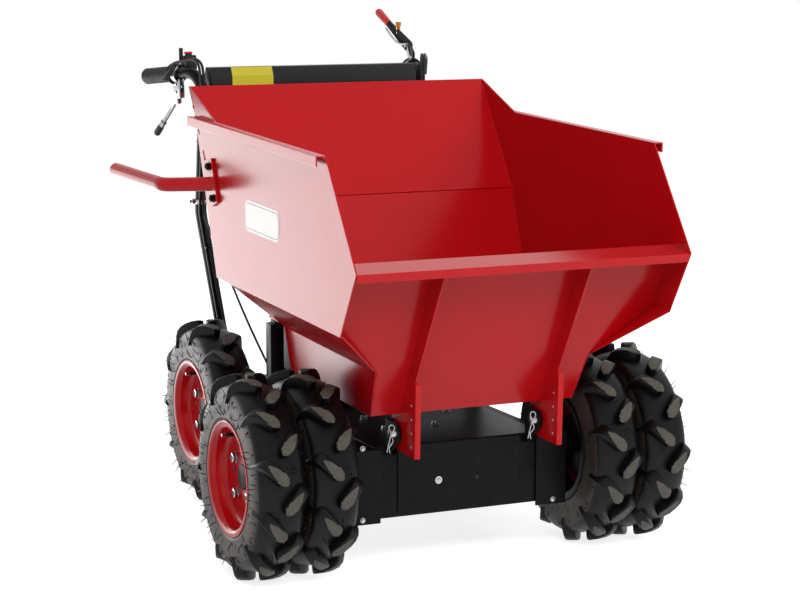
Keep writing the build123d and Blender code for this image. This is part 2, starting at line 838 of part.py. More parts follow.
# Silencer and air cleaner stand side by side on the head's upper corner, facing the operator.
rise = radians(cylinder_rise)
valve_reach, valve_half = head_reach + valve_cover_depth, (head_width - fin_reach) / 2
head_top_y = engine_y + valve_reach * cos(rise) - valve_half * sin(rise)
head_top_z = shaft_z + valve_reach * sin(rise) + valve_half * cos(rise) + fit_gap
case_bottom_z = head_top_z + head_foot
with BuildPart() as muffler:
    with BuildSketch(view_from_right(-6)):
        with Locations((head_top_y, case_bottom_z + silencer_height / 2)):
            RectangleRounded(silencer_depth, silencer_height, 20)
    extrude(amount=-silencer_width)
    fillet(muffler.faces().sort_by(Axis.X)[0].edges(), 8)
    with Locations((-30, head_top_y, head_top_z + 6)):
        Box(30, 24, 12)
    for number in range(guard_slats):
        with Locations((-6 - silencer_width / 2, head_top_y + silencer_depth / 2 + 3, case_bottom_z + 18 + number * 15)):
            Box(silencer_width - 24, 8, 7)
muffler.part.label = "muffler"
export_step(muffler.part, "parts/muffler.step")

cleaner_x = cleaner_width / 2 + 8
with BuildPart() as air_cleaner:
    for low, height, extra in ((0.0, 48.0, 0.0), (48.0, 6.0, 6.0), (54.0, cleaner_height - 54.0, 0.0)):
        with BuildSketch(Plane(origin=(cleaner_x, head_top_y, case_bottom_z + low))):
            RectangleRounded(cleaner_width + extra, silencer_depth + extra, 18)
        extrude(amount=height)
    fillet(air_cleaner.faces().sort_by(Axis.Z)[-1].edges(), 12)
    with BuildSketch(Plane(origin=(cleaner_x, head_top_y, case_bottom_z + cleaner_height - 2))):
        RegularPolygon(11, 6)
    extrude(amount=14)
    with Locations((24, head_top_y, head_top_z + 6)):
        Box(34, 24, 12)
air_cleaner.part.label = "air_cleaner"
export_step(air_cleaner.part, "parts/air_cleaner.step")

# A belt runs under this cover from the engine's shaft down and forwards to the gearbox.
cover_x = -engine_width / 2 - fit_gap
with BuildPart() as belt_cover:
    with BuildSketch(view_from_right(cover_x)):
        with Locations((engine_y, shaft_z)):
            Circle(belt_radius)
        with Locations((engine_y - belt_run, deck_top + engine_foot + belt_small_radius + fit_gap)):
            Circle(belt_small_radius)
        make_hull()
    extrude(amount=-belt_depth)
    fillet(belt_cover.faces().sort_by(Axis.X)[0].edges(), 10)
belt_cover.part.label = "belt_cover"
export_step(belt_cover.part, "parts/belt_cover.step")

# The gearbox hangs between the rails, with a ribbed side and a stub to each chain case.
gearbox_y = front_axle_y + gearbox_share * wheelbase
gearbox_half = case_inner_x - rail_width - fit_gap
with BuildPart() as gearbox:
    with Locations((0, gearbox_y, case_top - gearbox_height / 2)):
        Box(2 * gearbox_half - 40, gearbox_length, gearbox_height)
    for x in range(-60, 61, 40):
        with Locations((x, gearbox_y, case_top - gearbox_height / 2)):
            Box(6, gearbox_length + 16, gearbox_height - 8)
    with Locations((0, gearbox_y, case_top - rail_height / 2)):
        Box(2 * gearbox_half, 60, 40)
gearbox.part.label = "gearbox"
export_step(gearbox.part, "parts/gearbox.step")

# ---------------------------------------------------------------- handlebars
foot_y = frame_rear_y - rear_beam_depth / 2
bar_top_y = foot_y + bar_top_lean
console_y = bar_top_y + 16
console_z = bar_top_z + 7 - console_height / 2
for name, side in (("left", 1), ("right", -1)):
    route = (
        (side * bar_foot_x, foot_y, case_top),
        (side * bar_x, foot_y + bar_knee_lean, bar_knee_z),
        (side * bar_x, bar_top_y, bar_top_z),
        (side * grip_x, foot_y + grip_reach, grip_z),
    )
    with BuildPart() as handlebar:
        with BuildLine() as bar_path:
            FilletPolyline(*route, radius=(120, 55))
        with BuildSketch(Plane(origin=bar_path.line @ 0, z_dir=bar_path.line % 0)):
            Circle(bar_radius)
        sweep()
        split(bisect_by=Plane.XY.offset(case_top), keep=Keep.TOP)
    handlebar.part.label = f"handlebar_{name}"
    export_step(handlebar.part, f"parts/handlebar_{name}.step")

with BuildPart() as console:
    with BuildSketch(view_from_right()):
        front, rear = console_y - console_depth / 2, console_y + console_depth / 2
        low, high = console_z - console_height / 2, console_z + console_height / 2
        with BuildLine():
            Polyline(
                (front, low),
                (front, high - console_break),
                (front + console_slope, high),
                (rear - console_slope, high),
                (rear, high - console_break),
                (rear, low),
                close=True,
            )
        make_face()
    extrude(amount=bar_x - bar_radius - fit_gap, both=True)
console.part.label = "console"
export_step(console.part, "parts/console.step")


def on_bar(side, back):
    """Plane across a handlebar's straight end, back from its tip: X is sideways, Y down and Z along the bar."""
    tip = Vector(side * grip_x, foot_y + grip_reach, grip_z)
    along = (tip - Vector(side * bar_x, bar_top_y, bar_top_z)).normalized()
    return Plane(origin=tip - along * back, x_dir=(along.Y, -along.X, 0), z_dir=along)


lever_back = grip_length + clamp_gap + clamp_width / 2
for name, side in (("left", 1), ("right", -1)):
    with BuildPart() as grip:
        for radius, length in ((grip_radius, grip_length + fit_gap), (grip_flange_radius, grip_flange)):
            with BuildSketch(on_bar(side, grip_length)):
                Circle(radius)
                Circle(bar_radius + fit_gap, mode=Mode.SUBTRACT)
            extrude(amount=length)
        with BuildSketch(on_bar(side, -fit_gap)):
            Circle(grip_radius)
        extrude(amount=grip_cap)
    grip.part.label = f"grip_{name}"
    export_step(grip.part, f"parts/grip_{name}.step")

    # Clamp, hanging bracket, and an arm that bends back under the grip to a thicker sleeve.
    lever_root = on_bar(side, lever_back).origin
    arm_route = (
        lever_root + Vector(0, 0, -bar_radius - 34),
        lever_root + Vector(side * 4, 22, -bar_radius - 62),
        lever_root + Vector(side * 30, 68, -bar_radius - 126),
    )
    with BuildPart() as steering_lever:
        with BuildSketch(on_bar(side, lever_back)):
            Circle(bar_radius + clamp_wall)
            with Locations((0, bar_radius + 22)):
                RectangleRounded(12, 40, 5)
            Circle(bar_radius + fit_gap, mode=Mode.SUBTRACT)
        extrude(amount=clamp_width / 2, both=True)
        with BuildLine() as arm_line:
            FilletPolyline(*arm_route, radius=60)
        with BuildSketch(Plane(origin=arm_line.line @ 0, z_dir=arm_line.line % 0)):
            Circle(lever_radius)
        sweep()
        with BuildSketch(Plane(origin=arm_route[2], z_dir=arm_route[1] - arm_route[2])):
            Circle(sleeve_radius)
        extrude(amount=36)
    steering_lever.part.label = f"steering_lever_{name}"
    export_step(steering_lever.part, f"parts/steering_lever_{name}.step")

# Engine stop switch: a small housing on top of the right bar, with its button.
switch_back = lever_back + clamp_width / 2 + clamp_gap + switch_half_length
with BuildPart() as stop_switch:
    with BuildSketch(on_bar(-1, switch_back)):
        with Locations((17, -22)):
            RectangleRounded(28, 34, 5)
        Circle(bar_radius + fit_gap, mode=Mode.SUBTRACT)
    extrude(amount=switch_half_length, both=True)
    with BuildSketch(Plane(origin=on_bar(-1, switch_back).from_local_coords((17, -38, 0)))):
        Circle(8)
    extrude(amount=7)
stop_switch.part.label = "stop_switch"
export_step(stop_switch.part, "parts/stop_switch.step")

# The clutch lever stands up from a plate on the left bar and ends in a sleeve.
clutch_back = lever_back + clamp_width + clamp_gap
clutch_pivot = on_bar(1, clutch_back).from_local_coords((0, -clutch_rise, clutch_reach))
clutch_arm = Vector(-24, 121, 78)
clutch_plane = Plane(origin=clutch_pivot, x_dir=clutch_arm, z_dir=clutch_arm.cross(Vector(0, 0, 1)))
with BuildPart() as clutch_lever:
    with BuildSketch(on_bar(1, clutch_back)):
        Circle(bar_radius + clamp_wall)
        Circle(bar_radius + fit_gap, mode=Mode.SUBTRACT)
    extrude(amount=clamp_width / 2, both=True)
    plate_plane = Plane(
        origin=on_bar(1, clutch_back).origin, x_dir=on_bar(1, 0).z_dir, z_dir=-on_bar(1, 0).x_dir
    )
    with BuildSketch(plate_plane):
        with Locations((0, -bar_radius - 17)):
            Circle(9)
        with Locations((clutch_reach, -clutch_rise)):
            Circle(12)
        make_hull()
        with Locations((0, -bar_radius - 9)):
            Rectangle(14, 16)
    extrude(amount=2.5, both=True)
    with BuildSketch(clutch_plane):
        Circle(14)
        with Locations((0.74 * clutch_arm.length, 0)):
            Circle(7)
        make_hull()
    extrude(amount=3, both=True)
    with BuildSketch(Plane(origin=clutch_pivot + clutch_arm * 0.7, z_dir=clutch_arm)):
        Circle(sleeve_radius)
    extrude(amount=0.3 * clutch_arm.length)
clutch_lever.part.label = "clutch_lever"
export_step(clutch_lever.part, "parts/clutch_lever.step")

# Two cables a side rise from the levers, arch over the bar's bend and run down the front of its leg.
cable_off = bar_radius + cable_radius + fit_gap
leg_lean = atan2(bar_knee_lean - bar_top_lean, bar_top_z - bar_knee_z)
for name, side in (("left", 1), ("right", -1)):
    with BuildPart() as cables:
        for number in range(2):
            out = number * cable_spread
            ahead = sqrt(cable_off**2 - out**2) / cos(leg_lean)
            cable_route = (
                on_bar(side, lever_back + 2).origin + Vector(side * (bar_radius + 14 + out), 0, -14),
                on_bar(side, lever_back + 36).origin + Vector(side * (bar_radius + 10 + out), 0, 22),
                Vector(side * (bar_x + 6 + out), bar_top_y + 4, bar_top_z + 30),
                Vector(side * (bar_x + out), bar_top_y - ahead + 60 * sin(leg_lean) / cos(leg_lean), bar_top_z - 60),
                Vector(side * (bar_x + out), foot_y + bar_knee_lean - ahead, bar_knee_z),
                Vector(side * (bar_foot_x + out), foot_y - ahead, case_top),
            )
            with BuildLine() as cable_line:
                FilletPolyline(*cable_route, radius=(16, 24, 16, 120))
            with BuildSketch(Plane(origin=cable_line.line @ 0, z_dir=cable_line.line % 0)):
                Circle(cable_radius)
            sweep()
        split(bisect_by=Plane.XY.offset(case_top + fit_gap), keep=Keep.TOP)
    cables.part.label = f"cables_{name}"
    export_step(cables.part, f"parts/cables_{name}.step")
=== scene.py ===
"""Dresses the site dumper's solids: paints, rubber and plated metal, and the small parts made here."""

import json
import math
import random

import bmesh
import bpy
from mathutils import Matrix, Vector


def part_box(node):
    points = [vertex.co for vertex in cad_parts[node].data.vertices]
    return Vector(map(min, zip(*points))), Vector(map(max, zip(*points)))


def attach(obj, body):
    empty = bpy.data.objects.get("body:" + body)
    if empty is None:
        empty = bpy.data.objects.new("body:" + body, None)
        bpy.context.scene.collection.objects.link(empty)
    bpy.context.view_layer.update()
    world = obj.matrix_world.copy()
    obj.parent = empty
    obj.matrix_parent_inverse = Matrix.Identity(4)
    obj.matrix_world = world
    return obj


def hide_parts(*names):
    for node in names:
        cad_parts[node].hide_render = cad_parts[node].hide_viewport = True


bl_info = {
    "name": "Site Dumper Dressing",
    "version": (1, 0, 0),
    "blender": (4, 5, 0),
    "location": "View3D > Sidebar > Dumper",
    "description": "Finishes and small parts for a walk-behind site dumper",
    "category": "Object",
}

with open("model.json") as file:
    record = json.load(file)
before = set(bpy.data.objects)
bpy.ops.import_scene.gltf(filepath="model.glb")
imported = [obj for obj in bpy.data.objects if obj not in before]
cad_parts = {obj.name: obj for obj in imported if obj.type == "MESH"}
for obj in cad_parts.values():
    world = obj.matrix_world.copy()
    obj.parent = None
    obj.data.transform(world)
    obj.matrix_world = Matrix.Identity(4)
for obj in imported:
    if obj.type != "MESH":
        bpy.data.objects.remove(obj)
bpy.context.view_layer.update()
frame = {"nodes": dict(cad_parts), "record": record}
MM = 0.001
X, Y, Z = Vector((1, 0, 0)), Vector((0, 1, 0)), Vector((0, 0, 1))


def middle(node):
    """Centre of a node's box."""
    low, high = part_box(node)
    return (low + high) / 2


def in_mm(x, y, z):
    """A vector given in mm."""
    return Vector((x, y, z)) * MM


def share_of(low, high, x, y, z):
    """A point in a box, given as shares of its width, length and height."""
    return Vector([a + (b - a) * share for a, b, share in zip(low, high, (x, y, z))])


def around(centre, radius, angle):
    """A point round the X axis, at a radius in mm from a centre and an angle from the Y axis."""
    return centre + in_mm(0, radius * math.cos(angle), radius * math.sin(angle))


def basis(*axes):
    """The turn that takes X, Y and Z to three directions."""
    return Matrix(axes).transposed().to_4x4()


def linear(code):
    """Linear RGBA of an sRGB hex code such as c2181e."""
    parts = [int(code[i : i + 2], 16) / 255 for i in (0, 2, 4)]
    return (*(c / 12.92 if c <= 0.04045 else ((c + 0.055) / 1.055) ** 2.4 for c in parts), 1.0)


# ---------------------------------------------------------------- sizes and colours a user would change
def colour_prop(name, description, code):
    """A colour property whose default is a hex code."""
    return bpy.props.FloatVectorProperty(
        name=name, description=description, subtype="COLOR", size=3, min=0, max=1, default=linear(code)[:3]
    )


def length_prop(name, description, value):
    """A length property in metres, whose default is given in mm."""
    return bpy.props.FloatProperty(
        name=name, description=description, unit="LENGTH", min=0, default=value * MM
    )


class DumperFinish(bpy.types.PropertyGroup):
    """Colours of the machine's finishes."""

    enamel: colour_prop("Red enamel", "Gloss enamel of the tub and wheels", "bd0b13")
    chassis: colour_prop("Black enamel", "Satin enamel of the chassis", "0b0b0c")
    tyre: colour_prop("Tyre rubber", "Tread and carcass rubber", "070708")
    wall: colour_prop("Sidewall", "Bloomed rubber on the tyres' sides", "2b241f")
    # lug tops' colour: scuffed rubber with a painted highlight in it
    scuff_and_highlight: colour_prop("Lug faces", "Scuffed rubber on the lugs' tops", "47453e")
    sleeve: colour_prop("Red sleeve", "Dipped sleeve on the clutch lever", "cc2a30")


class DumperDetail(bpy.types.PropertyGroup):
    """Sizes of the small parts."""

    sheet_edge: length_prop("Sheet edge", "Rounding of cut sheet edges", 1.0)
    block_edge: length_prop("Block edge", "Rounding of thick plates and castings", 1.6)
    nut_size: length_prop("Wheel nut", "Width across a wheel nut's corners", 21.0)
    bolt_size: length_prop("Frame bolt", "Width across a frame bolt's corners", 15.0)
    weld_size: length_prop("Weld", "Width of a weld bead", 5.0)
    whisker: length_prop("Whisker", "Length of a moulding whisker on a tyre", 24.0)


class DumperView(bpy.types.PropertyGroup):
    """Where the camera stands and what it sees."""

    lens: bpy.props.FloatProperty(
        name="Lens", description="Focal length on a 36 mm sensor, in mm", default=99.71
    )
    place: bpy.props.FloatVectorProperty(
        name="Camera place",
        description="Camera position",
        subtype="TRANSLATION",
        default=(-1.8982, -4.2846, 1.2186),
    )
    heading: bpy.props.FloatProperty(
        name="Heading", description="Turn to the right of straight ahead", subtype="ANGLE", default=0.42456
    )
    dip: bpy.props.FloatProperty(
        name="Dip", description="Angle that the camera looks down", subtype="ANGLE", default=0.15589
    )
    shift: bpy.props.FloatProperty(name="Shift", description="Sideways lens shift", default=0.0015)


# ---------------------------------------------------------------- material helpers
def add_node(tree, kind, settings=None, inputs=None, links=None):
    """Adds a shader node with its settings and input values, and links given sockets into it."""
    node = tree.nodes.new(kind)
    for key, value in (settings or {}).items():
        setattr(node, key, value)
    for key, value in (inputs or {}).items():
        node.inputs[key].default_value = value
    for key, source in (links or {}).items():
        tree.links.new(source, node.inputs[key])
    return node


def new_material(name):
    """An empty node material and its output node."""
    material = bpy.data.materials.new(name)
    material.use_nodes = True
    material.node_tree.nodes.clear()
    output = add_node(material.node_tree, "ShaderNodeOutputMaterial")
    return material, material.node_tree, output


def surface(
    name, colour, roughness, grain, bump, specular=0.5, metallic=0.0, tone=0.06, patch=110.0, dust=None
):
    """A finish with a faint change of tone over patches and a fine surface grain, both given in mm.

    dust is a second colour and its share, laid over the first in soft spots.
    """
    material, tree, output = new_material(name)
    where = add_node(tree, "ShaderNodeTexCoord").outputs["Object"]

    def noise(size, detail, rough):
        """Soft spots of a size in mm."""
        inputs = {"Scale": 1000.0 / size, "Detail": detail, "Roughness": rough}
        return add_node(tree, "ShaderNodeTexNoise", inputs=inputs, links={"Vector": where}).outputs["Fac"]

    def spread(value, low, high, start=0.0, end=1.0):
        """A value from start to end, spread from low to high."""
        inputs = {"From Min": start, "From Max": end, "To Min": low, "To Max": high}
        return add_node(tree, "ShaderNodeMapRange", inputs=inputs, links={"Value": value}).outputs["Result"]

    cloud = noise(patch, 4.0, 0.6)
    base = add_node(
        tree,
        "ShaderNodeHueSaturation",
        inputs={"Color": (*colour, 1.0)},
        links={"Value": spread(cloud, 1 - tone, 1 + tone, 0.3, 0.7)},
    ).outputs["Color"]
    if dust:
        share = spread(noise(patch * 0.22, 5.0, 0.7), 0.0, dust[1], 0.45, 0.72)
        over, under = {7: linear(dust[0])}, {0: share, 6: base}
        base = add_node(tree, "ShaderNodeMix", {"data_type": "RGBA"}, inputs=over, links=under).outputs[2]
    relief = add_node(
        tree,
        "ShaderNodeBump",
        inputs={"Strength": 0.3, "Distance": bump * MM},
        links={"Height": noise(grain, 2.0, 0.5)},
    )
    rough = spread(cloud, max(0.03, roughness - 0.06), roughness + 0.06)
    shader = add_node(
        tree,
        "ShaderNodeBsdfPrincipled",
        inputs={"Metallic": metallic, "Specular IOR Level": specular},
        links={"Base Color": base, "Roughness": rough, "Normal": relief.outputs["Normal"]},
    )
    tree.links.new(shader.outputs["BSDF"], output.inputs["Surface"])
    return material


FINISHES = {}


def make_finishes(colours):
    """The machine's finishes: one for each of the record's slots, and those only used by pieces made here."""
    enamel, chassis = tuple(colours.enamel), tuple(colours.chassis)
    # Gloss enamel sprayed on pressed steel: deep colour and clear reflections with a slight orange peel.
    FINISHES["red_paint"] = surface("gloss_red_enamel", enamel, 0.2, 4.0, 0.05, 0.22, tone=0.04, patch=160)
    # The same enamel on the engine's tank, which is smoother.
    FINISHES["tank_paint"] = surface("gloss_red_tank", enamel, 0.16, 5.0, 0.02, 0.4, tone=0.02)
    # Satin enamel on the chassis: black with broad soft highlights and a little dust.
    FINISHES["black_paint"] = surface(
        "satin_black_enamel", chassis, 0.38, 2.0, 0.05, 0.1, tone=0.1, dust=("252320", 0.25)
    )
    # Zinc plate: pale metal with a soft shine.
    FINISHES["bright_steel"] = surface("zinc_plate", linear("b4b7ba")[:3], 0.3, 0.9, 0.02, metallic=1.0)
    # Chrome plate on levers and nuts: a mirror with faint waves.
    FINISHES["chrome"] = surface("chrome_plate", linear("a6a9ac")[:3], 0.16, 4.0, 0.01, metallic=1.0)
    # Die-cast aluminium: grey metal with a fine sandy skin.
    FINISHES["cast_metal"] = surface(
        "die_cast_aluminium", linear("9a9da1")[:3], 0.45, 1.2, 0.12, metallic=1.0, dust=("4a4a4a", 0.4)
    )
    # Tyre rubber: matt black carcass.
    FINISHES["tyre_rubber"] = surface(
        "tyre_rubber", tuple(colours.tyre), 0.4, 1.6, 0.2, 0.18, tone=0.12, patch=60, dust=("191816", 0.3)
    )
    # Bloomed sidewall rubber: browner and paler than the tread.
    FINISHES["tyre_wall"] = surface(
        "tyre_sidewall_rubber",
        tuple(colours.wall),
        *(0.5, 1.6, 0.2, 0.3),
        tone=0.14,
        patch=40,
        dust=("403a34", 0.5),
    )
    # Lug tops: scuffed to a dusty olive grey, with a painted highlight laid into that colour as well.
    FINISHES["tyre_scuff_and_highlight"] = surface(
        "scuffed_lug_rubber_and_highlight",
        tuple(colours.scuff_and_highlight),
        *(0.62, 1.2, 0.25, 0.4),
        tone=0.2,
        patch=18,
        dust=("6a665a", 0.5),
    )
    # Moulded rubber of grips and pads.
    FINISHES["pad_rubber"] = surface("moulded_rubber", linear("161616")[:3], 0.5, 1.0, 0.1, 0.3)
    # Moulded ABS: black with a fine grain.
    FINISHES["black_plastic"] = surface("moulded_abs", linear("171718")[:3], 0.36, 1.0, 0.06, 0.3)
    # Heat-proof silver paint on the silencer.
    FINISHES["heat_metal"] = surface(
        "heat_proof_paint", linear("86888a")[:3], 0.5, 1.0, 0.05, metallic=0.6, dust=("5a4a3a", 0.3)
    )
    # Dipped vinyl sleeve: soft red with a dull shine.
    FINISHES["red_sleeve"] = surface("dipped_vinyl", tuple(colours.sleeve), 0.42, 1.2, 0.06, 0.45)
    # Printed vinyl labels: plain white and plain yellow, both blank.
    FINISHES["white_label"] = surface("white_vinyl", linear("e4e1dd")[:3], 0.3, 1.5, 0.01, 0.3, tone=0.02)
    FINISHES["yellow_label"] = surface("yellow_vinyl", linear("c9c23a")[:3], 0.4, 1.5, 0.01, 0.4, tone=0.03)
    # Turned brass knob.
    FINISHES["brass"] = surface("turned_brass", linear("a5703a")[:3], 0.25, 1.0, 0.02, metallic=1.0)


# ---------------------------------------------------------------- shape helpers
def aim(place, axis):
    """Matrix that takes the Z axis to a direction at a place."""
    return Matrix.Translation(place) @ Vector(axis).to_track_quat("Z", "Y").to_matrix().to_4x4()


def bevel(bm, edges, width, segments):
    """Rounds some edges by a width in metres."""
    bmesh.ops.bevel(
        bm,
        geom=edges,
        offset=width,
        offset_type="OFFSET",
        segments=segments,
        profile=0.5,
        affect="EDGES",
        material=-1,
    )


def ease(bm, faces, width, segments=2, angle=40.0):
    """Rounds the sharp edges of some faces by a width in metres."""
    edges = {e for f in faces for e in f.edges if len(e.link_faces) == 2}
    sharp = [e for e in edges if e.calc_face_angle(0) > math.radians(angle)]
    bevel(bm, sharp, width, segments)


def join(bm, part, mat):
    """Moves a small bmesh into a larger one with a material, and returns its faces there."""
    for face in part.faces:
        face.material_index = mat
    mesh = bpy.data.meshes.new("part")
    part.to_mesh(mesh)
    part.free()
    count = len(bm.faces)
    bm.from_mesh(mesh)
    bpy.data.meshes.remove(mesh)
    bm.faces.ensure_lookup_table()
    return bm.faces[count:]


def rod(bm, start, end, radius, mat=0, tip=None, segments=20, soft=0.0):
    """A round bar between two points, tapered to a tip radius if one is given."""
    start, end, part = Vector(start), Vector(end), bmesh.new()
    bmesh.ops.create_cone(
        part,
        cap_ends=True,
        segments=segments,
        radius1=radius,
        radius2=radius if tip is None else tip,
        depth=(end - start).length,
        matrix=aim((start + end) / 2, end - start),
    )
    if soft:
        ease(part, part.faces, soft, angle=50.0)
    join(bm, part, mat)


def hexagon(bm, place, axis, size, height, mat=0, washer=0.0, stud=0.0):
    """A hexagon head on a washer, and a stud end if one is given, on the face it is screwed to."""
    axis = Vector(axis).normalized()
    place = Vector(place)
    lift = height * 0.18 if washer else 0.0
    if washer:
        rod(bm, place, place + axis * lift, washer, mat, segments=24)
    top = place + axis * (lift + height)
    rod(bm, place + axis * lift, top, size / 2, mat, segments=6, soft=height * 0.12)
    if stud:
        rod(bm, top, top + axis * stud, size * 0.27, mat, segments=12, soft=size * 0.04)


def block(bm, centre, size, mat=0, soft=0.0, turn=None, segments=2):
    """A box with rounded edges, turned about its centre by a rotation matrix."""
    part = bmesh.new()
    placed = Matrix.Translation(centre) @ (turn or Matrix.Identity(4)) @ Matrix.Diagonal((*size, 1.0))
    bmesh.ops.create_cube(part, size=1.0, matrix=placed)
    if soft:
        ease(part, part.faces, soft, segments)
    join(bm, part, mat)


def ball(bm, centre, radius, mat=0, detail=2, stretch=(1, 1, 1)):
    """A round bead, stretched along the axes."""
    part = bmesh.new()
    placed = Matrix.Translation(centre) @ Matrix.Diagonal((*stretch, 1.0))
    bmesh.ops.create_icosphere(part, subdivisions=detail, radius=radius, matrix=placed)
    join(bm, part, mat)


def wire(bm, points, radius, mat=0, order=3, rings=6):
    """A round wire along a smooth curve through given control points."""
    curve = bpy.data.curves.new("wire", "CURVE")
    curve.dimensions = "3D"
    curve.bevel_depth = radius
    curve.bevel_resolution = 2
    curve.resolution_u = rings
    curve.use_fill_caps = True
    spline = curve.splines.new("NURBS")
    spline.points.add(len(points) - 1)
    for point, place in zip(spline.points, points):
        point.co = (*place, 1.0)
    spline.order_u = order
    spline.use_endpoint_u = True
    holder = bpy.data.objects.new("wire", curve)
    mesh = bpy.data.meshes.new_from_object(holder)
    part = bmesh.new()
    part.from_mesh(mesh)
    join(bm, part, mat)
    bpy.data.objects.remove(holder)
    bpy.data.curves.remove(curve)
    bpy.data.meshes.remove(mesh)


def lathe(bm, outline, centre, steps):
    """A turned ring about the X axis through a centre, from a closed outline of x and radius in mm."""
    part = bmesh.new()
    verts = [part.verts.new(Vector(centre) + Vector((x * MM, 0, r * MM))) for x, r in outline]
    edges = [part.edges.new(pair) for pair in zip(verts, verts[1:] + verts[:1])]
    bmesh.ops.spin(
        part,
        geom=verts + edges,
        cent=centre,
        axis=X,
        angle=2 * math.pi,
        steps=steps,
        use_merge=True,
        use_duplicate=False,
    )
    bmesh.ops.recalc_face_normals(part, faces=part.faces)
    return join(bm, part, 0)


def finish_piece(bm, name, body, slot, finishes=(), crease=38.0, replaces=()):
    """Makes a bmesh a piece of the machine, shaded smooth up to a crease angle, on a body.

    Its faces' materials are the finishes in order, or else its slot's own.
    """
    mesh = bpy.data.meshes.new(name)
    bm.to_mesh(mesh)
    bm.free()
    for face in mesh.polygons:
        face.use_smooth = True
    mesh.set_sharp_from_angle(angle=math.radians(crease))
    for finish in finishes or (slot,):
        mesh.materials.append(FINISHES[finish])
    piece = bpy.data.objects.new(name, mesh)
    bpy.context.collection.objects.link(piece)
    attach(piece, body)
    if replaces:
        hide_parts(*replaces)


BODIES = frame["record"]["behaviour"]["bodies"]
BODY_OF = {node: body for body, nodes in BODIES.items() for node in nodes}
SLOT_OF = {entry["node"]: entry["material_slot"] for entry in frame["record"]["subparts"]}


def eased_node(node, width, crease=30.0):
    """Replaces a node with a merged copy of it whose sharp edges are rounded by a width in metres."""
    bm = bmesh.new()
    bm.from_mesh(frame["nodes"][node].data)
    bmesh.ops.remove_doubles(bm, verts=bm.verts, dist=0.01 * MM)
    bmesh.ops.dissolve_limit(bm, angle_limit=math.radians(0.3), verts=bm.verts, edges=bm.edges)
    if width:
        ease(bm, bm.faces, width, angle=28.0)
    finish_piece(bm, node + ".eased", BODY_OF[node], SLOT_OF[node], crease=crease, replaces=(node,))


# ---------------------------------------------------------------- places
PIVOT = Vector((middle("tub_front").x, middle("pivot_pins").y, middle("pivot_pins").z))
LEAN = math.radians(2.0)
TUB_HALF = (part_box("tub_front")[1].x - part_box("tub_front")[0].x) / 2 + 3.0 * MM


TUB_BACK = Vector((0, math.cos(LEAN), math.sin(LEAN)))
TUB_UP = Vector((0, -math.sin(LEAN), math.cos(LEAN)))


def tub_point(x, a, h):
    """A point x from the tub's middle, a along and h up in the tub's own frame, given in mm."""
    return PIVOT + (X * x + TUB_BACK * a + TUB_UP * h) * MM


# ---------------------------------------------------------------- tyres and wheels
BEAD, TREAD, LUG_TOP = 101.8, 185.0, 203.6
TYRE_BOX_WIDTH = 108.0
LUGS = 11
LUG_SLANT = math.radians(46.0)
LUG_LENGTH = 65.0
LUG_WIDTH = 24.0
# place along the axle and radius, from the bead round to the middle of the tread
CARCASS_HALF = (
    (46.0, BEAD), (46.0, 114.5), (47.0, 117.5), (48.2, 118.5), (49.4, 121.5),
    (49.0, 124.0), (49.6, 132.0), (50.3, 145.0), (49.6, 158.0), (47.0, 169.0),
    (42.0, 177.0), (34.0, 181.5), (20.0, 184.2), (0.0, TREAD),
)
# How far the part of a lug's top with scuffed rubber and a painted highlight is as wide as the lug, and where
# its tail ends, from -1 to 1.
SCUFF_HIGHLIGHT_WHOLE, SCUFF_HIGHLIGHT_END = -0.43, 0.14
# half width of the scuffed part with its painted highlight at each station, as a share of the lug's
SCUFF_HIGHLIGHT_SHAPE = (0.5, 0.7, 0.94, 0.6, 0.12, 0.12, 0.12, 0.12)
# place along a lug, and radii of its top and its foot
LUG_STATIONS = (
    (-5.0, 201.0, 178.0), (3.0, LUG_TOP, 178.0),
    (18.0, 203.4, 178.0), (34.0, 202.0, 176.0),
    (48.0, 198.0, 172.0), (58.0, 190.0, 164.0),
    (63.5, 178.0, 156.0), (LUG_LENGTH, 168.0, 150.0),
)
# widths of a lug's first stations as shares of its own, and how much wider its foot is than its top
LUG_NOSE = {0: 0.46, 1: 0.86}
LUG_SPREAD = 1.16
# where the bloomed rubber of the sidewall starts along the axle, and the radius where it ends
WALL_X, WALL_RADIUS = 45.5, 174.0
# moulded ribs of the sidewall: their size and their place along the axle and radius
WALL_RIB_SIZE, WALL_RIB_X, WALL_RIB_RADIUS = (2.4, 2.6, 34.0), 49.2, 147.0
# roots of the mould's hairs on the sidewall and on the tread
HAIR_X, HAIR_RADII = 48.5, (124.0, 136.0, 152.0, 163.0)
TREAD_HAIR_X, TREAD_HAIR_RADIUS = 24.0, 184.0
# length of the hairs next to the chassis and on the tread, as a share of the outer ones'
INBOARD_CROP, TREAD_CROP = 0.25, 0.7
WHEELS = {
    "wheels_front_left": ("front_left", 1),
    "wheels_front_right": ("front_right", -1),
    "wheel_rear_left": ("rear_left", 1),
    "wheel_rear_right": ("rear_right", -1),
}


def tyre_centres(name):
    """Centres of the tyres of a wheel set, the one next to the chassis first."""
    low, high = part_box(f"tyres_{name}")
    centre = (low + high) / 2
    width = TYRE_BOX_WIDTH * MM
    count = round((high.x - low.x) / width)
    places = sorted((low.x + width / 2, high.x - width / 2), key=abs)
    return [Vector((x, centre.y, centre.z)) for x in places[:count]]


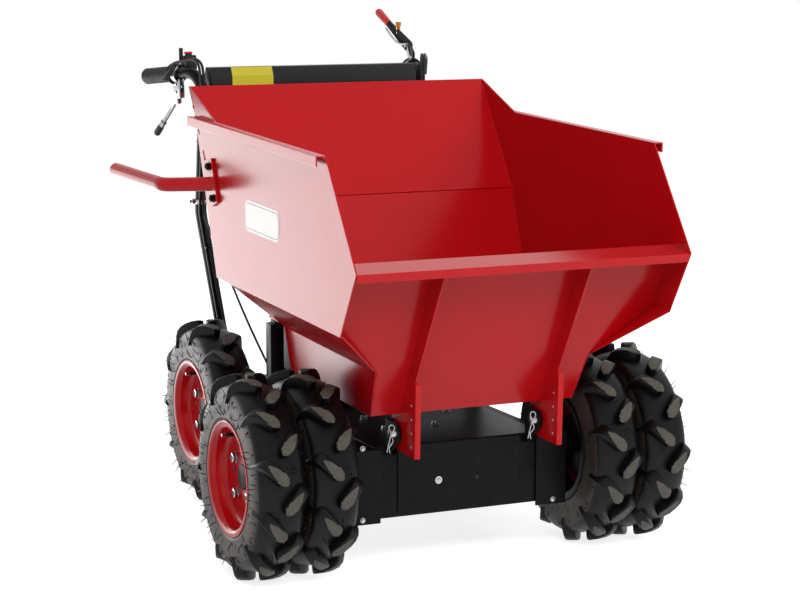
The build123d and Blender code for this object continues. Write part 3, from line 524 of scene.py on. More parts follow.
def lug_mesh(row):
    """One lug of a row: a strip raised off the carcass, laid along its slant and wrapped round the axle."""
    bm = bmesh.new()
    bmesh.ops.create_grid(bm, x_segments=len(LUG_STATIONS) - 1, y_segments=4, size=1.0)
    top = bmesh.ops.extrude_face_region(bm, geom=bm.faces[:])
    raised = {v for v in top["geom"] if isinstance(v, bmesh.types.BMVert)}
    # faces of the lug's top that take the scuffed rubber with its painted highlight
    scuff_and_highlight = set()
    for face in bm.faces:
        place = face.calc_center_median()
        if place.x < SCUFF_HIGHLIGHT_WHOLE or (place.x < SCUFF_HIGHLIGHT_END and abs(place.y) < 0.5):
            scuff_and_highlight.add(face)
    for vert in bm.verts:
        station = round((vert.co.x + 1) / 2 * (len(LUG_STATIONS) - 1))
        along, high, foot = LUG_STATIONS[station]
        share = vert.co.y
        if 0.4 < abs(share) < 0.6:
            share = math.copysign(SCUFF_HIGHLIGHT_SHAPE[station], share)
        across = share * LUG_WIDTH / 2 * LUG_NOSE.get(station, 1.0)
        if vert not in raised:
            across *= LUG_SPREAD
            along += 3.0 if station == len(LUG_STATIONS) - 1 else 0.0
        if station == 0:
            along += 4.0 * vert.co.y**2
        x = along * math.cos(LUG_SLANT) - across * math.sin(LUG_SLANT)
        turned = along * math.sin(LUG_SLANT) + across * math.cos(LUG_SLANT)
        radius = high if vert in raised else foot
        angle = turned / TREAD
        vert.co = in_mm(row * x, radius * math.sin(angle), radius * math.cos(angle))
    bmesh.ops.recalc_face_normals(bm, faces=bm.faces)
    if bm.calc_volume(signed=True) < 0:
        bmesh.ops.reverse_faces(bm, faces=bm.faces)
    # top faces in that set get the third finish: scuffed rubber with a painted highlight
    for face in bm.faces:
        face.material_index = 2 if set(face.verts) <= raised and face in scuff_and_highlight else 0
    ease(bm, bm.faces, 2.6 * MM, segments=3, angle=42.0)
    mesh = bpy.data.meshes.new("lug")
    bm.to_mesh(mesh)
    bm.free()
    return mesh


def add_whisker(bm, rng, place, axis, length):
    """A thin rubber hair left by a mould vent."""
    lean = Vector((rng.uniform(-0.35, 0.35), rng.uniform(-0.35, 0.35), rng.uniform(-0.35, 0.35)))
    axis = (Vector(axis) + lean).normalized()
    end = Vector(place) + axis * length * rng.uniform(0.6, 1.15)
    rod(bm, place, end, 1.1 * MM, tip=0.5 * MM, segments=5)


def add_tyre(bm, lugs, centre, rng, outer, whisker):
    """One tractor-tread tyre round a centre, with its whiskers cropped except on the outer side."""
    outline = [*CARCASS_HALF, *((-x, r) for x, r in reversed(CARCASS_HALF[:-1]))]
    carcass = lathe(bm, outline, centre, steps=88)
    for face in carcass:
        offset = face.calc_center_median() - centre
        if abs(offset.x) > WALL_X * MM and Vector((offset.y, offset.z)).length < WALL_RADIUS * MM:
            face.material_index = 1
    turn = 2 * math.pi / LUGS
    for row, lug in zip((1, -1), lugs):
        first = 0.0 if row > 0 else turn / 2
        for number in range(LUGS):
            count = len(bm.verts)
            bm.from_mesh(lug)
            bm.verts.ensure_lookup_table()
            placed = Matrix.Translation(centre) @ Matrix.Rotation(first + number * turn, 4, "X")
            bmesh.ops.transform(bm, matrix=placed, verts=bm.verts[count:])
    for side in (-1, 1):
        length = whisker if side == outer else whisker * INBOARD_CROP
        for number in range(2 * LUGS):
            angle = (number + 0.25) * turn / 2
            radial = Vector((0, math.sin(angle), math.cos(angle)))
            spin = Matrix.Rotation(-angle, 4, "X")
            rib = centre + (X * side * WALL_RIB_X + radial * WALL_RIB_RADIUS) * MM
            block(bm, rib, in_mm(*WALL_RIB_SIZE), 1, 0.7 * MM, spin)
        for number in range(6 * LUGS):
            angle = (number + rng.uniform(-0.3, 0.3)) * turn / 6
            radial = Vector((0, math.sin(angle), math.cos(angle)))
            root = centre + (X * side * HAIR_X + radial * rng.choice(HAIR_RADII)) * MM
            add_whisker(bm, rng, root, X * side * 0.45 + radial * 0.75, length)
    for number in range(3 * LUGS):
        angle = rng.uniform(0, 2 * math.pi)
        radial = Vector((0, math.sin(angle), math.cos(angle)))
        place = centre + (X * rng.uniform(-TREAD_HAIR_X, TREAD_HAIR_X) + radial * TREAD_HAIR_RADIUS) * MM
        add_whisker(bm, rng, place, radial, whisker * TREAD_CROP)


# place along the axle and radius round the rim's section, from its outer lip inwards
RIM_OUTLINE = (
    (49.2, 113.6), (48.0, 114.9), (46.4, 114.6), (46.3, 103.6), (44.4, 101.6),
    (-44.4, 101.6), (-46.3, 103.6), (-46.4, 114.6), (-48.0, 114.9), (-49.2, 113.6),
    (-49.2, 104.0), (-46.5, 99.4), (-42.0, 98.4), (9.0, 98.4), (11.0, 96.0),
    (11.0, 25.3), (15.0, 25.3), (15.0, 62.0), (13.6, 66.0), (13.6, 82.0),
    (15.0, 86.0), (15.8, 90.0), (18.5, 94.2), (23.0, 96.6), (36.0, 98.0),
    (43.0, 99.6), (46.8, 103.0), (48.6, 107.0), (49.4, 111.0),
)


# outer face of the disc along the axle, where the black painted shade on the rim's inboard part begins, and
# the circles of its nuts and holes
DISC_FACE, RIM_SHADE_FROM, NUT_CIRCLE, HOLE_CIRCLE = 15.0, 10.5, 50.0, 52.0
VALVE_RADIUS, VALVE_ANGLE = 86.0, 1.2


def add_rim(bm, centre, side):
    """One pressed rim and its disc, with painted shade: the part behind the disc is black for the dark inside
    of the wheel.
    """
    for face in lathe(bm, [(side * x, r) for x, r in RIM_OUTLINE], centre, steps=80):
        # faces inboard of the disc take black paint as painted shade
        if (face.calc_center_median().x - centre.x) * side < RIM_SHADE_FROM * MM:
            face.material_index = 1


def add_wheel_nuts(bm, centre, side, size):
    """Four nuts on their studs, a locating hole's plug and the valve."""
    out = X * side
    face = centre + out * DISC_FACE * MM
    for number in range(4):
        place = around(face, NUT_CIRCLE, math.radians(40 + 90 * number))
        hexagon(bm, place, out, size, 8.5 * MM, washer=size * 0.56)
        rod(bm, place + out * 9 * MM, place + out * 10.8 * MM, size * 0.24, 1, segments=16)
    for angle in (math.radians(8), math.radians(188)):
        place = around(face, HOLE_CIRCLE, angle)
        rod(bm, place, place + out * 1.0 * MM, 4.5 * MM, 1, segments=16)
    stem = around(centre + out * 24 * MM, VALVE_RADIUS, VALVE_ANGLE)
    rod(bm, stem - out * 8 * MM, stem + out * 16 * MM, 4.2 * MM, 1, soft=0.8 * MM)
    rod(bm, stem + out * 16 * MM, stem + out * 24 * MM, 3.4 * MM, soft=0.8 * MM)


class DUMPER_OT_wheels(bpy.types.Operator):
    """Makes the lugged tyres, the rims and the wheel nuts, and rounds the hubs' edges"""

    bl_idname = "dumper.wheels"
    bl_label = "Wheels"

    def execute(self, context):
        detail = context.scene.dumper_detail
        rng = random.Random(7)
        lugs = [lug_mesh(1), lug_mesh(-1)]
        for body, (name, side) in WHEELS.items():
            centres = tyre_centres(name)
            bm = bmesh.new()
            for centre in centres:
                add_tyre(bm, lugs, centre, rng, side, detail.whisker)
            # the third finish is the lug tops' scuffed rubber with a painted highlight
            finish_piece(
                bm,
                f"tyres_{name}.tread",
                body,
                "tyre_rubber",
                ("tyre_rubber", "tyre_wall", "tyre_scuff_and_highlight"),
                replaces=(f"tyres_{name}",),
            )
            bm = bmesh.new()
            for centre in centres:
                add_rim(bm, centre, side)
            # the second finish, black, is painted shade on the rim's inboard part
            finish_piece(
                bm,
                f"rims_{name}.pressed",
                body,
                "red_paint",
                ("red_paint", "black_paint"),
                replaces=(f"rims_{name}",),
            )
            bm = bmesh.new()
            add_wheel_nuts(bm, centres[-1], side, detail.nut_size)
            finish_piece(bm, f"wheel_nuts_{name}", body, "chrome", ("chrome", "black_plastic"))
            eased_node(f"hub_{name}", 0.8 * MM)
        for lug in lugs:
            bpy.data.meshes.remove(lug)
        return {"FINISHED"}


# ---------------------------------------------------------------- tub
# Nodes of pressed and cut sheet, whose edges are rounded by the sheet edge.
SHEET_NODES = (
    "tub_front", "tub_back", "tub_floor", "hopper_side_left",
    "hopper_side_right", "tub_side_left", "tub_side_right", "hinge_brackets",
    "tip_handle", "deck_plate", "front_cover", "guard_plates",
    "pivot_ears", "engine_plate",
)
# Nodes of thicker bar, castings and mouldings, whose edges are rounded by the block edge.
BLOCK_NODES = (
    "frame_rails", "front_beam", "rear_beam", "drive_case_left",
    "drive_case_right", "pivot_pins", "rest_beam", "rest_posts",
    "rest_pads", "console", "gearbox", "tank_saddles",
    "fuel_cap", "stop_switch",
)
# Nodes that are smooth already and only need their doubles merged and a smooth shading.
SMOOTH_NODES = (
    "engine_block", "fan_housing", "recoil_starter", "fuel_tank",
    "muffler", "air_cleaner", "belt_cover", "handlebar_left",
    "handlebar_right", "cables_left", "cables_right",
)


class DUMPER_OT_panels(bpy.types.Operator):
    """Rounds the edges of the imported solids"""

    bl_idname = "dumper.panels"
    bl_label = "Panels"

    def execute(self, context):
        detail = context.scene.dumper_detail
        for node in SHEET_NODES:
            eased_node(node, detail.sheet_edge, crease=12.0)
        for node in BLOCK_NODES:
            eased_node(node, detail.block_edge)
        for node in SMOOTH_NODES:
            eased_node(node, 0.0)
        return {"FINISHED"}


WELD_PITCH = 3.4


def weld(bm, start, end, width, rng):
    """A weld bead between two points: overlapping drops of slightly different sizes."""
    start, end = Vector(start), Vector(end)
    count = max(2, round((end - start).length / (WELD_PITCH * MM)))
    for number in range(count + 1):
        place = start.lerp(end, number / count)
        size = width / 2 * rng.uniform(0.85, 1.15)
        ball(bm, place, size, detail=1)


# ends of the long seams inside, where the side plates meet the back and the front sheets: along and up
INNER_SEAMS = (
    ((531, 398), (686, 611)),
    ((470, 248), (524, 390)),
    ((-92, 246), (-150, 364)),
)


class DUMPER_OT_welds(bpy.types.Operator):
    """Lays the tub's weld beads and tacks"""

    bl_idname = "dumper.welds"
    bl_label = "Welds"

    def execute(self, context):
        width = context.scene.dumper_detail.weld_size
        rng = random.Random(11)
        bm = bmesh.new()
        half = TUB_HALF / MM
        for side in (-1, 1):
            inside = side * (half - 4.0)
            for low, high in INNER_SEAMS:
                weld(bm, tub_point(inside, *low), tub_point(inside, *high), width * 0.8, rng)
            # short tacks outside, along the back's upper corner
            for share in (0.1, 0.34, 0.58, 0.82):
                low, high = tub_point(side * half, 536, 402), tub_point(side * half, 688, 614)
                spot = low.lerp(high, share)
                weld(bm, spot, spot.lerp(high, 0.12), width * 0.7, rng)
        # the lapped edge across the back sheet's fold
        reach = half - 8.0
        rod(bm, tub_point(-reach, 526.0, 394.0), tub_point(reach, 526.0, 394.0), 1.8 * MM, segments=10)
        # tacks along both sides of the front ribs
        for x in RIB_PLACES:
            for side in (-1.0, RIB_THICKNESS + 1.0):
                for height in range(120, 350, 46):
                    start = tub_point(x + side, RIB_FOOT - RIB_LEAN * height, height)
                    end = tub_point(x + side, RIB_FOOT - RIB_LEAN * (height + 16), height + 16)
                    weld(bm, start, end, width * 0.6, rng)
        finish_piece(bm, "tub_welds", "tub", "red_paint")
        return {"FINISHED"}


# The line where the ribs meet the front sheet: how far back it starts and how far it leans forward per mm up.
RIB_FOOT = 15.9
RIB_LEAN = 0.47
# Left faces of the two front ribs, across the tub, and where their rivets stand along the front edge.
RIB_PLACES = (-160.0, 150.0)
RIB_THICKNESS = 5.0
RIVET_HEIGHTS = (357.0, 329.0, 302.0, 275.0)
RIVET_LINE = -57.0


def rounded_plate(bm, centre, across, up, out, width, height, thick, corner, mat=0):
    """A thin plate with round corners that lies in the plane of two directions."""
    part = bmesh.new()
    scale = Matrix.Diagonal((width, height, thick, 1.0))
    placed = Matrix.Translation(centre) @ basis(across, up, out) @ scale
    bmesh.ops.create_cube(part, size=1.0, matrix=placed)
    uprights = [e for e in part.edges if abs((e.verts[0].co - e.verts[1].co).normalized().dot(out)) > 0.9]
    bevel(part, uprights, corner, 8)
    bmesh.ops.recalc_face_normals(part, faces=part.faces)
    join(bm, part, mat)


# the blank label on the side plate: its place along and up, and its width, height and corners
LABEL_PLACE = (248.0, 392.0)
LABEL_SIZE = (188.0, 63.0, 16.0)


class DUMPER_OT_tub_parts(bpy.types.Operator):
    """Adds the tub's blank label, its rivets and the tipping handle's bolts"""

    bl_idname = "dumper.tub_parts"
    bl_label = "Tub Parts"

    def execute(self, context):
        size = context.scene.dumper_detail.bolt_size
        bm = bmesh.new()
        centre = tub_point(-TUB_HALF / MM, *LABEL_PLACE)
        # white sheet with a thin dark line round a plain middle
        for number, inset in enumerate((0.0, 10.0, 12.4)):
            width, height, corner = LABEL_SIZE
            lift = X * (0.2 + 0.15 * number) * MM
            mat = 0 if number == 1 else 1
            plate = ((width - inset) * MM, (height - inset) * MM, 0.6 * MM, (corner - inset / 2) * MM)
            rounded_plate(bm, centre - lift, TUB_BACK, TUB_UP, -X, *plate, mat)
        finish_piece(bm, "side_label", "tub", "red_paint", ("pad_rubber", "white_label"))

        bm = bmesh.new()
        for x in RIB_PLACES:
            for height in RIVET_HEIGHTS:
                for face in (x, x + RIB_THICKNESS):
                    place = tub_point(face, RIVET_LINE, height - PIVOT.z / MM)
                    ball(bm, place, 2.6 * MM, stretch=(0.5, 1, 1))
        finish_piece(bm, "rib_rivets", "tub", "bright_steel")

        bm = bmesh.new()
        face_x = PIVOT.x - TUB_HALF - 6.0 * MM
        for number in (-1, 1):
            place = tub_point(0, 531 + number * 13, 433 + number * 32)
            place.x = face_x
            hexagon(bm, place, -X, size, 7 * MM, washer=size * 0.62, stud=2 * MM)
            inner = Vector((PIVOT.x - TUB_HALF + 3.0 * MM, place.y, place.z))
            hexagon(bm, inner, X, size, 6 * MM, washer=size * 0.6)
        finish_piece(bm, "handle_bolts", "tub", "bright_steel", ("black_paint",))
        return {"FINISHED"}


# ---------------------------------------------------------------- chassis
# places sideways and up along the two wires of a spring clip, in mm
CLIP_RING = (
    *((2.0, 4.0), (6.5, 10.0), (5.5, 17.0), (0.0, 20.0), (-5.0, 16.0)),
    *((-4.0, 9.0), (0.0, 2.0), (-4.0, -12.0), (-9.0, -36.0)),
)
CLIP_LEG = ((2.0, 4.0), (-1.0, -3.0), (4.0, -11.0), (1.0, -19.0), (-6.0, -26.0), (-3.0, -37.0))


def spring_clip(bm, place):
    """A bent wire clip through a pin's end, hanging below it."""
    sideways = Vector((0.85, -0.53, 0))
    for points in (CLIP_RING, CLIP_LEG):
        wire(bm, [place + (sideways * u + Z * v) * MM for u, v in points], 1.3 * MM, order=3, rings=8)


def domed_screw(bm, place, washer, thick, head, lift, flat, segments):
    """A screw with a domed head on its washer, in mm, on a face that looks forwards."""
    rod(bm, place, place - Y * thick * MM, washer * MM, segments=segments)
    ball(bm, place - Y * lift * MM, head * MM, detail=3, stretch=(1, flat, 1))


# how far the drive cases' bosses stand out from their faces
CASE_BOSS = 8.0


class DUMPER_OT_chassis_parts(bpy.types.Operator):
    """Adds the clips on the pivot pins and the bolts of the covers, the cases and the deck"""

    bl_idname = "dumper.chassis_parts"
    bl_label = "Chassis Parts"

    def execute(self, context):
        detail = context.scene.dumper_detail
        bm = bmesh.new()
        for x in RIB_PLACES:
            left = PIVOT.x + (x - 17.0) * MM
            spring_clip(bm, Vector((left - 3 * MM, PIVOT.y - 9 * MM, PIVOT.z)))
        finish_piece(bm, "pin_clips", "chassis", "bright_steel")

        bm = bmesh.new()
        cover_low, guard_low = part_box("front_cover")[0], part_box("guard_plates")[0]
        for side in (-1, 1):
            for height in (255.0, 110.0):
                place = Vector((side * 212 * MM, guard_low.y, height * MM))
                domed_screw(bm, place, 5.4, 1.0, 4.6, 1.0, 0.6, 24)
        place = Vector((-47 * MM, cover_low.y, 176 * MM))
        domed_screw(bm, place, 7.6, 1.4, 4.4, 1.2, 0.55, 28)
        place = Vector((39 * MM, cover_low.y, 174 * MM))
        rod(bm, place + Y * 2 * MM, place - Y * 0.3 * MM, 4.0 * MM, 1, segments=20)
        deck_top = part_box("deck_plate")[1].z
        for x, y in ((17.0, -228.0), (-96.0, -228.0), (96.0, -120.0), (-96.0, -120.0)):
            hexagon(bm, Vector((x * MM, y * MM, deck_top)), Z, detail.bolt_size, 6 * MM, washer=9 * MM)
        finish_piece(bm, "cover_bolts", "chassis", "bright_steel", ("bright_steel", "black_plastic"))

        bm = bmesh.new()
        for name, side in (("left", 1), ("right", -1)):
            low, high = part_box(f"drive_case_{name}")
            wheel_front, wheel_back = middle(f"hub_front_{name}"), middle(f"hub_rear_{name}")
            outer = (high.x if side > 0 else low.x) - side * CASE_BOSS * MM
            # bolts along the case's cover and round its bosses
            for share in range(7):
                y = wheel_front.y + (wheel_back.y - wheel_front.y) * (0.14 + 0.12 * share)
                for z in (high.z - 32 * MM, low.z + 26 * MM):
                    hexagon(bm, Vector((outer, y, z)), X * side, 11 * MM, 5 * MM, washer=7 * MM)
            for centre in (wheel_front, wheel_back):
                for number in range(4):
                    angle = math.pi / 4 + number * math.pi / 2
                    place = around(Vector((outer, centre.y, centre.z)), 50, angle)
                    if place.z < high.z - 4 * MM:
                        hexagon(bm, place, X * side, 12 * MM, 5 * MM, washer=8 * MM)
        low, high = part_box("rear_beam")
        for x in (-0.36, -0.12, 0.12, 0.36):
            place = Vector((x * (high.x - low.x), high.y, (low.z + high.z) / 2))
            hexagon(bm, place, Y, detail.bolt_size, 7 * MM, washer=10 * MM)
        finish_piece(bm, "case_bolts", "chassis", "bright_steel")
        return {"FINISHED"}


# ---------------------------------------------------------------- controls
BAR_TIP = in_mm(322.0, 595.0, 937.0)
BAR_BEND = in_mm(262.0, 378.0, 958.0)
LEG_FOOT = in_mm(190.0, 435.0, 250.0)
LEG_BEND = in_mm(262.0, 418.0, 640.0)
GRIP_LENGTH = 112.0
# how far before the bar's tip the steering levers, the stop button and the clutch lever sit
LEVER_BACK = 121.0
BUTTON_BACK = LEVER_BACK + 21
CLUTCH_BACK = 138.0
# the clutch lever's arm beyond its pivot
CLUTCH_ARM = (-24, 121, 78)
# the loose cable from the right leg to the chassis
LOOSE_CABLE = (
    *((-262, 402, 640), (-252, 330, 560), (-240, 262, 480)),
    *((-228, 205, 410), (-215, 150, 350), (-196, 80, 268)),
)


def leg_point(side, height):
    """Middle of a handlebar's leg at a height in mm: it leans outwards below its bend and forwards above."""
    low, high = (LEG_FOOT, LEG_BEND) if height * MM < LEG_BEND.z else (LEG_BEND, BAR_BEND)
    place = low.lerp(high, (height * MM - low.z) / (high.z - low.z))
    return Vector((side * place.x, place.y, place.z))


def on_bar(side, back):
    """Frame of a handlebar's straight end: the place back mm before its tip, sideways, down and along."""
    tip = Vector((side * BAR_TIP.x, BAR_TIP.y, BAR_TIP.z))
    along = (tip - Vector((side * BAR_BEND.x, BAR_BEND.y, BAR_BEND.z))).normalized()
    across = Vector((along.y, -along.x, 0)).normalized()
    return tip - along * back * MM, across, along.cross(across), along


# place along the grip from its inner flange and radius
GRIP_ENDS = ((0.0, 24.4), (1.6, 25.2), (3.6, 24.6), (4.4, 19.0), (5.4, 17.4))
GRIP_CAP = ((110.0, 17.4), (113.0, 18.4), (115.4, 17.2), (116.2, 14.0), (116.2, 0.05), (112.4, 0.05))


def add_grip(bm, side):
    """A moulded grip: a flange, fine rings along its length and a closed end."""
    rings = []
    pitch = 5.2
    for number in range(20):
        start = 6.4 + number * pitch
        rings += [(start, 17.0), (start + 1.4, 18.1), (start + 3.6, 18.1), (start + 4.6, 17.0)]
    rings = [ring for ring in rings if ring[0] < 109.0]
    outline = [*GRIP_ENDS, *rings, *GRIP_CAP, (112.4, 13.3), (0.0, 13.3)]
    origin, across, _, along = on_bar(side, GRIP_LENGTH)
    count = len(bm.verts)
    lathe(bm, outline, Vector((0, 0, 0)), steps=40)
    bm.verts.ensure_lookup_table()
    turn = basis(along, across, along.cross(across))
    bmesh.ops.transform(bm, matrix=Matrix.Translation(origin) @ turn, verts=bm.verts[count:])


class DUMPER_OT_controls(bpy.types.Operator):
    """Makes the grips and dresses the levers, the stop switch, the console and the cables"""

    bl_idname = "dumper.controls"
    bl_label = "Controls"

    def execute(self, context):
        for name, side in (("left", 1), ("right", -1)):
            bm = bmesh.new()
            add_grip(bm, side)
            finish_piece(bm, f"grip_{name}.ribbed", "chassis", "pad_rubber", replaces=(f"grip_{name}",))
            eased_node(f"steering_lever_{name}", 0.6 * MM)
            # sleeve on the arm's tip, the bracket's pivot screw and its clamp screw
            bm = bmesh.new()
            origin, across, down, along = on_bar(side, LEVER_BACK)
            bend = origin + in_mm(side * 4, 22, -75)
            tip = origin + in_mm(side * 30, 68, -139)
            reach = (tip - bend).normalized()
            rod(bm, tip - reach * 37 * MM, tip - reach * 4 * MM, 7.2 * MM, tip=8.1 * MM, soft=1.2 * MM)
            ball(bm, tip - reach * 3 * MM, 8.0 * MM, 0, 3)
            for drop in (24, 42):
                place = origin + down * drop * MM
                for way in (across, -across):
                    hexagon(bm, place + way * 6 * MM, way, 9 * MM, 4 * MM, 1, washer=6 * MM)
            hexagon(bm, origin - down * 19.6 * MM, -down, 9 * MM, 4 * MM, 1, washer=6 * MM)
            barrel = origin + down * 30 * MM + along * 9 * MM
            rod(bm, barrel, barrel - along * 26 * MM, 3.6 * MM, 1, soft=0.5 * MM)
            # cast perch under the bar that holds the lever
            turn, half = basis(across, down, along), along * 10 * MM
            block(bm, origin + down * 34 * MM, in_mm(16, 46, 26), 1, 4 * MM, turn, 3)
            block(bm, origin + (down * 58 + along * 8) * MM, in_mm(13, 22, 18), 1, 4 * MM, turn, 3)
            rod(bm, origin - half, origin + half, 20.8 * MM, 1, segments=36, soft=1.6 * MM)
            finish_piece(bm, f"steering_trim_{name}", "chassis", "chrome", ("pad_rubber", "chrome"))

        # red mushroom button and a small upright tab beside it
        bm = bmesh.new()
        origin, across, down, along = on_bar(-1, BUTTON_BACK)
        top = origin + across * 17 * MM - down * 38 * MM
        low, high = top - down * 5 * MM, top - down * 9 * MM
        rod(bm, low, high, 10.5 * MM, tip=9.0 * MM, segments=32, soft=1.2 * MM)
        block(bm, top - across * 20 * MM - down * 3 * MM, in_mm(9, 5, 30), 1, 1.4 * MM)
        finish_piece(bm, "stop_button", "chassis", "black_plastic", ("red_sleeve", "black_plastic"))

        # the clutch lever's red sleeve, its plates' screws, a thin trigger beside it and a turned knob
        eased_node("clutch_lever", 0.6 * MM)
        bm = bmesh.new()
        origin, across, down, along = on_bar(1, CLUTCH_BACK)
        pivot = origin - down * 54 * MM + along * 70 * MM
        arm = in_mm(*CLUTCH_ARM)
        reach = arm.normalized()
        tip = pivot + arm
        crown = tip - reach * 3 * MM
        rod(bm, tip - reach * 52 * MM, crown, 8.0 * MM, tip=9.6 * MM, segments=28, soft=1.6 * MM)
        ball(bm, crown, 9.3 * MM, detail=3)
        for way in (across, -across):
            hexagon(bm, pivot + way * 3 * MM, way, 13 * MM, 6 * MM, 1, washer=9 * MM)
        trigger = [pivot - (across * 9 + along * 18 + down * 4) * MM]
        for aside, ahead, below in ((10, 22, 9), (9, 62, 15), (6, 96, 12)):
            trigger.append(pivot + (reach * ahead + down * below - across * aside) * MM)
        wire(bm, trigger, 2.6 * MM, 1)
        plate = (pivot - origin).normalized()
        turn = basis(across, plate, across.cross(plate))
        centre = origin.lerp(pivot, 0.5) - (across * 5.2 + down * 3) * MM
        block(bm, centre, in_mm(3.0, 64.0, 15.0), 1, 1.0 * MM, turn)
        stem = pivot + reach * 52 * MM
        knob = stem + in_mm(1, 0, 9)
        rod(bm, stem, knob, 3.6 * MM, 1, soft=0.5 * MM)
        rod(bm, knob, knob + in_mm(1, 0, 19), 5.0 * MM, 2, tip=7.0 * MM, soft=1.6 * MM)
        finish_piece(bm, "clutch_trim", "chassis", "chrome", ("red_sleeve", "chrome", "brass"))

        # blank yellow label folded over the console's front edge, and its end screws
        bm = bmesh.new()
        low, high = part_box("console")
        fold = Vector((-152 * MM, low.y, high.z - 20 * MM))
        slope = Vector((0, 10, 20)).normalized()
        out = Vector((0, -20, 10)).normalized()
        front, top = fold - (Z * 17 + Y * 0.3) * MM, fold + (slope * 11 + out * 0.3) * MM
        rounded_plate(bm, front, X, Z, -Y, 97 * MM, 34 * MM, 0.7 * MM, 1 * MM)
        rounded_plate(bm, top, X, slope, out, 97 * MM, 22 * MM, 0.7 * MM, 1 * MM)
        finish_piece(bm, "console_label", "chassis", "black_plastic", ("yellow_label",))
        bm = bmesh.new()
        for side in (-1, 1):
            for back in (14, 38):
                place = Vector((side * (high.x - 16 * MM), low.y + back * MM, low.z))
                hexagon(bm, place, -Z, 9 * MM, 4 * MM, washer=6 * MM)
            # ties that hold the cables to the legs, and a worm clamp on the right leg
            for height in (360, 560, 800):
                centre = leg_point(side, height)
                rod(bm, centre - Z * 2 * MM, centre + Z * 2 * MM, 14.2 * MM, 1, segments=32, soft=0.8 * MM)
                block(bm, centre - Y * 17 * MM, in_mm(20, 12, 4), 1, 1.6 * MM)
        leg = Vector((-LEG_BEND.x, LEG_BEND.y - 2 * MM, LEG_BEND.z + 20 * MM))
        rod(bm, leg, leg + in_mm(0, -1.3, 10), 14.6 * MM, segments=36, soft=0.8 * MM)
        hexagon(bm, leg + in_mm(-14, 0, 5), -X, 13 * MM, 8 * MM, stud=6 * MM)
        wire(bm, [in_mm(*point) for point in LOOSE_CABLE], 2.6 * MM, 1, order=4, rings=8)
        finish_piece(bm, "leg_ties", "chassis", "black_plastic", ("bright_steel", "black_plastic"))
        return {"FINISHED"}


# ---------------------------------------------------------------- engine
# The shaft's place in from the fan housing's lower corner, and the cylinder's reach from it and its rise.
SHAFT_INSET = 92.0
HEAD_REACH = 174.0
CYLINDER_RISE = math.radians(25.0)
# the belt cover's screws, as shares of its length and height
BELT_SCREWS = ((0.1, 0.2), (0.3, 0.62), (0.62, 0.9), (0.92, 0.55), (0.62, 0.16), (0.35, 0.1))


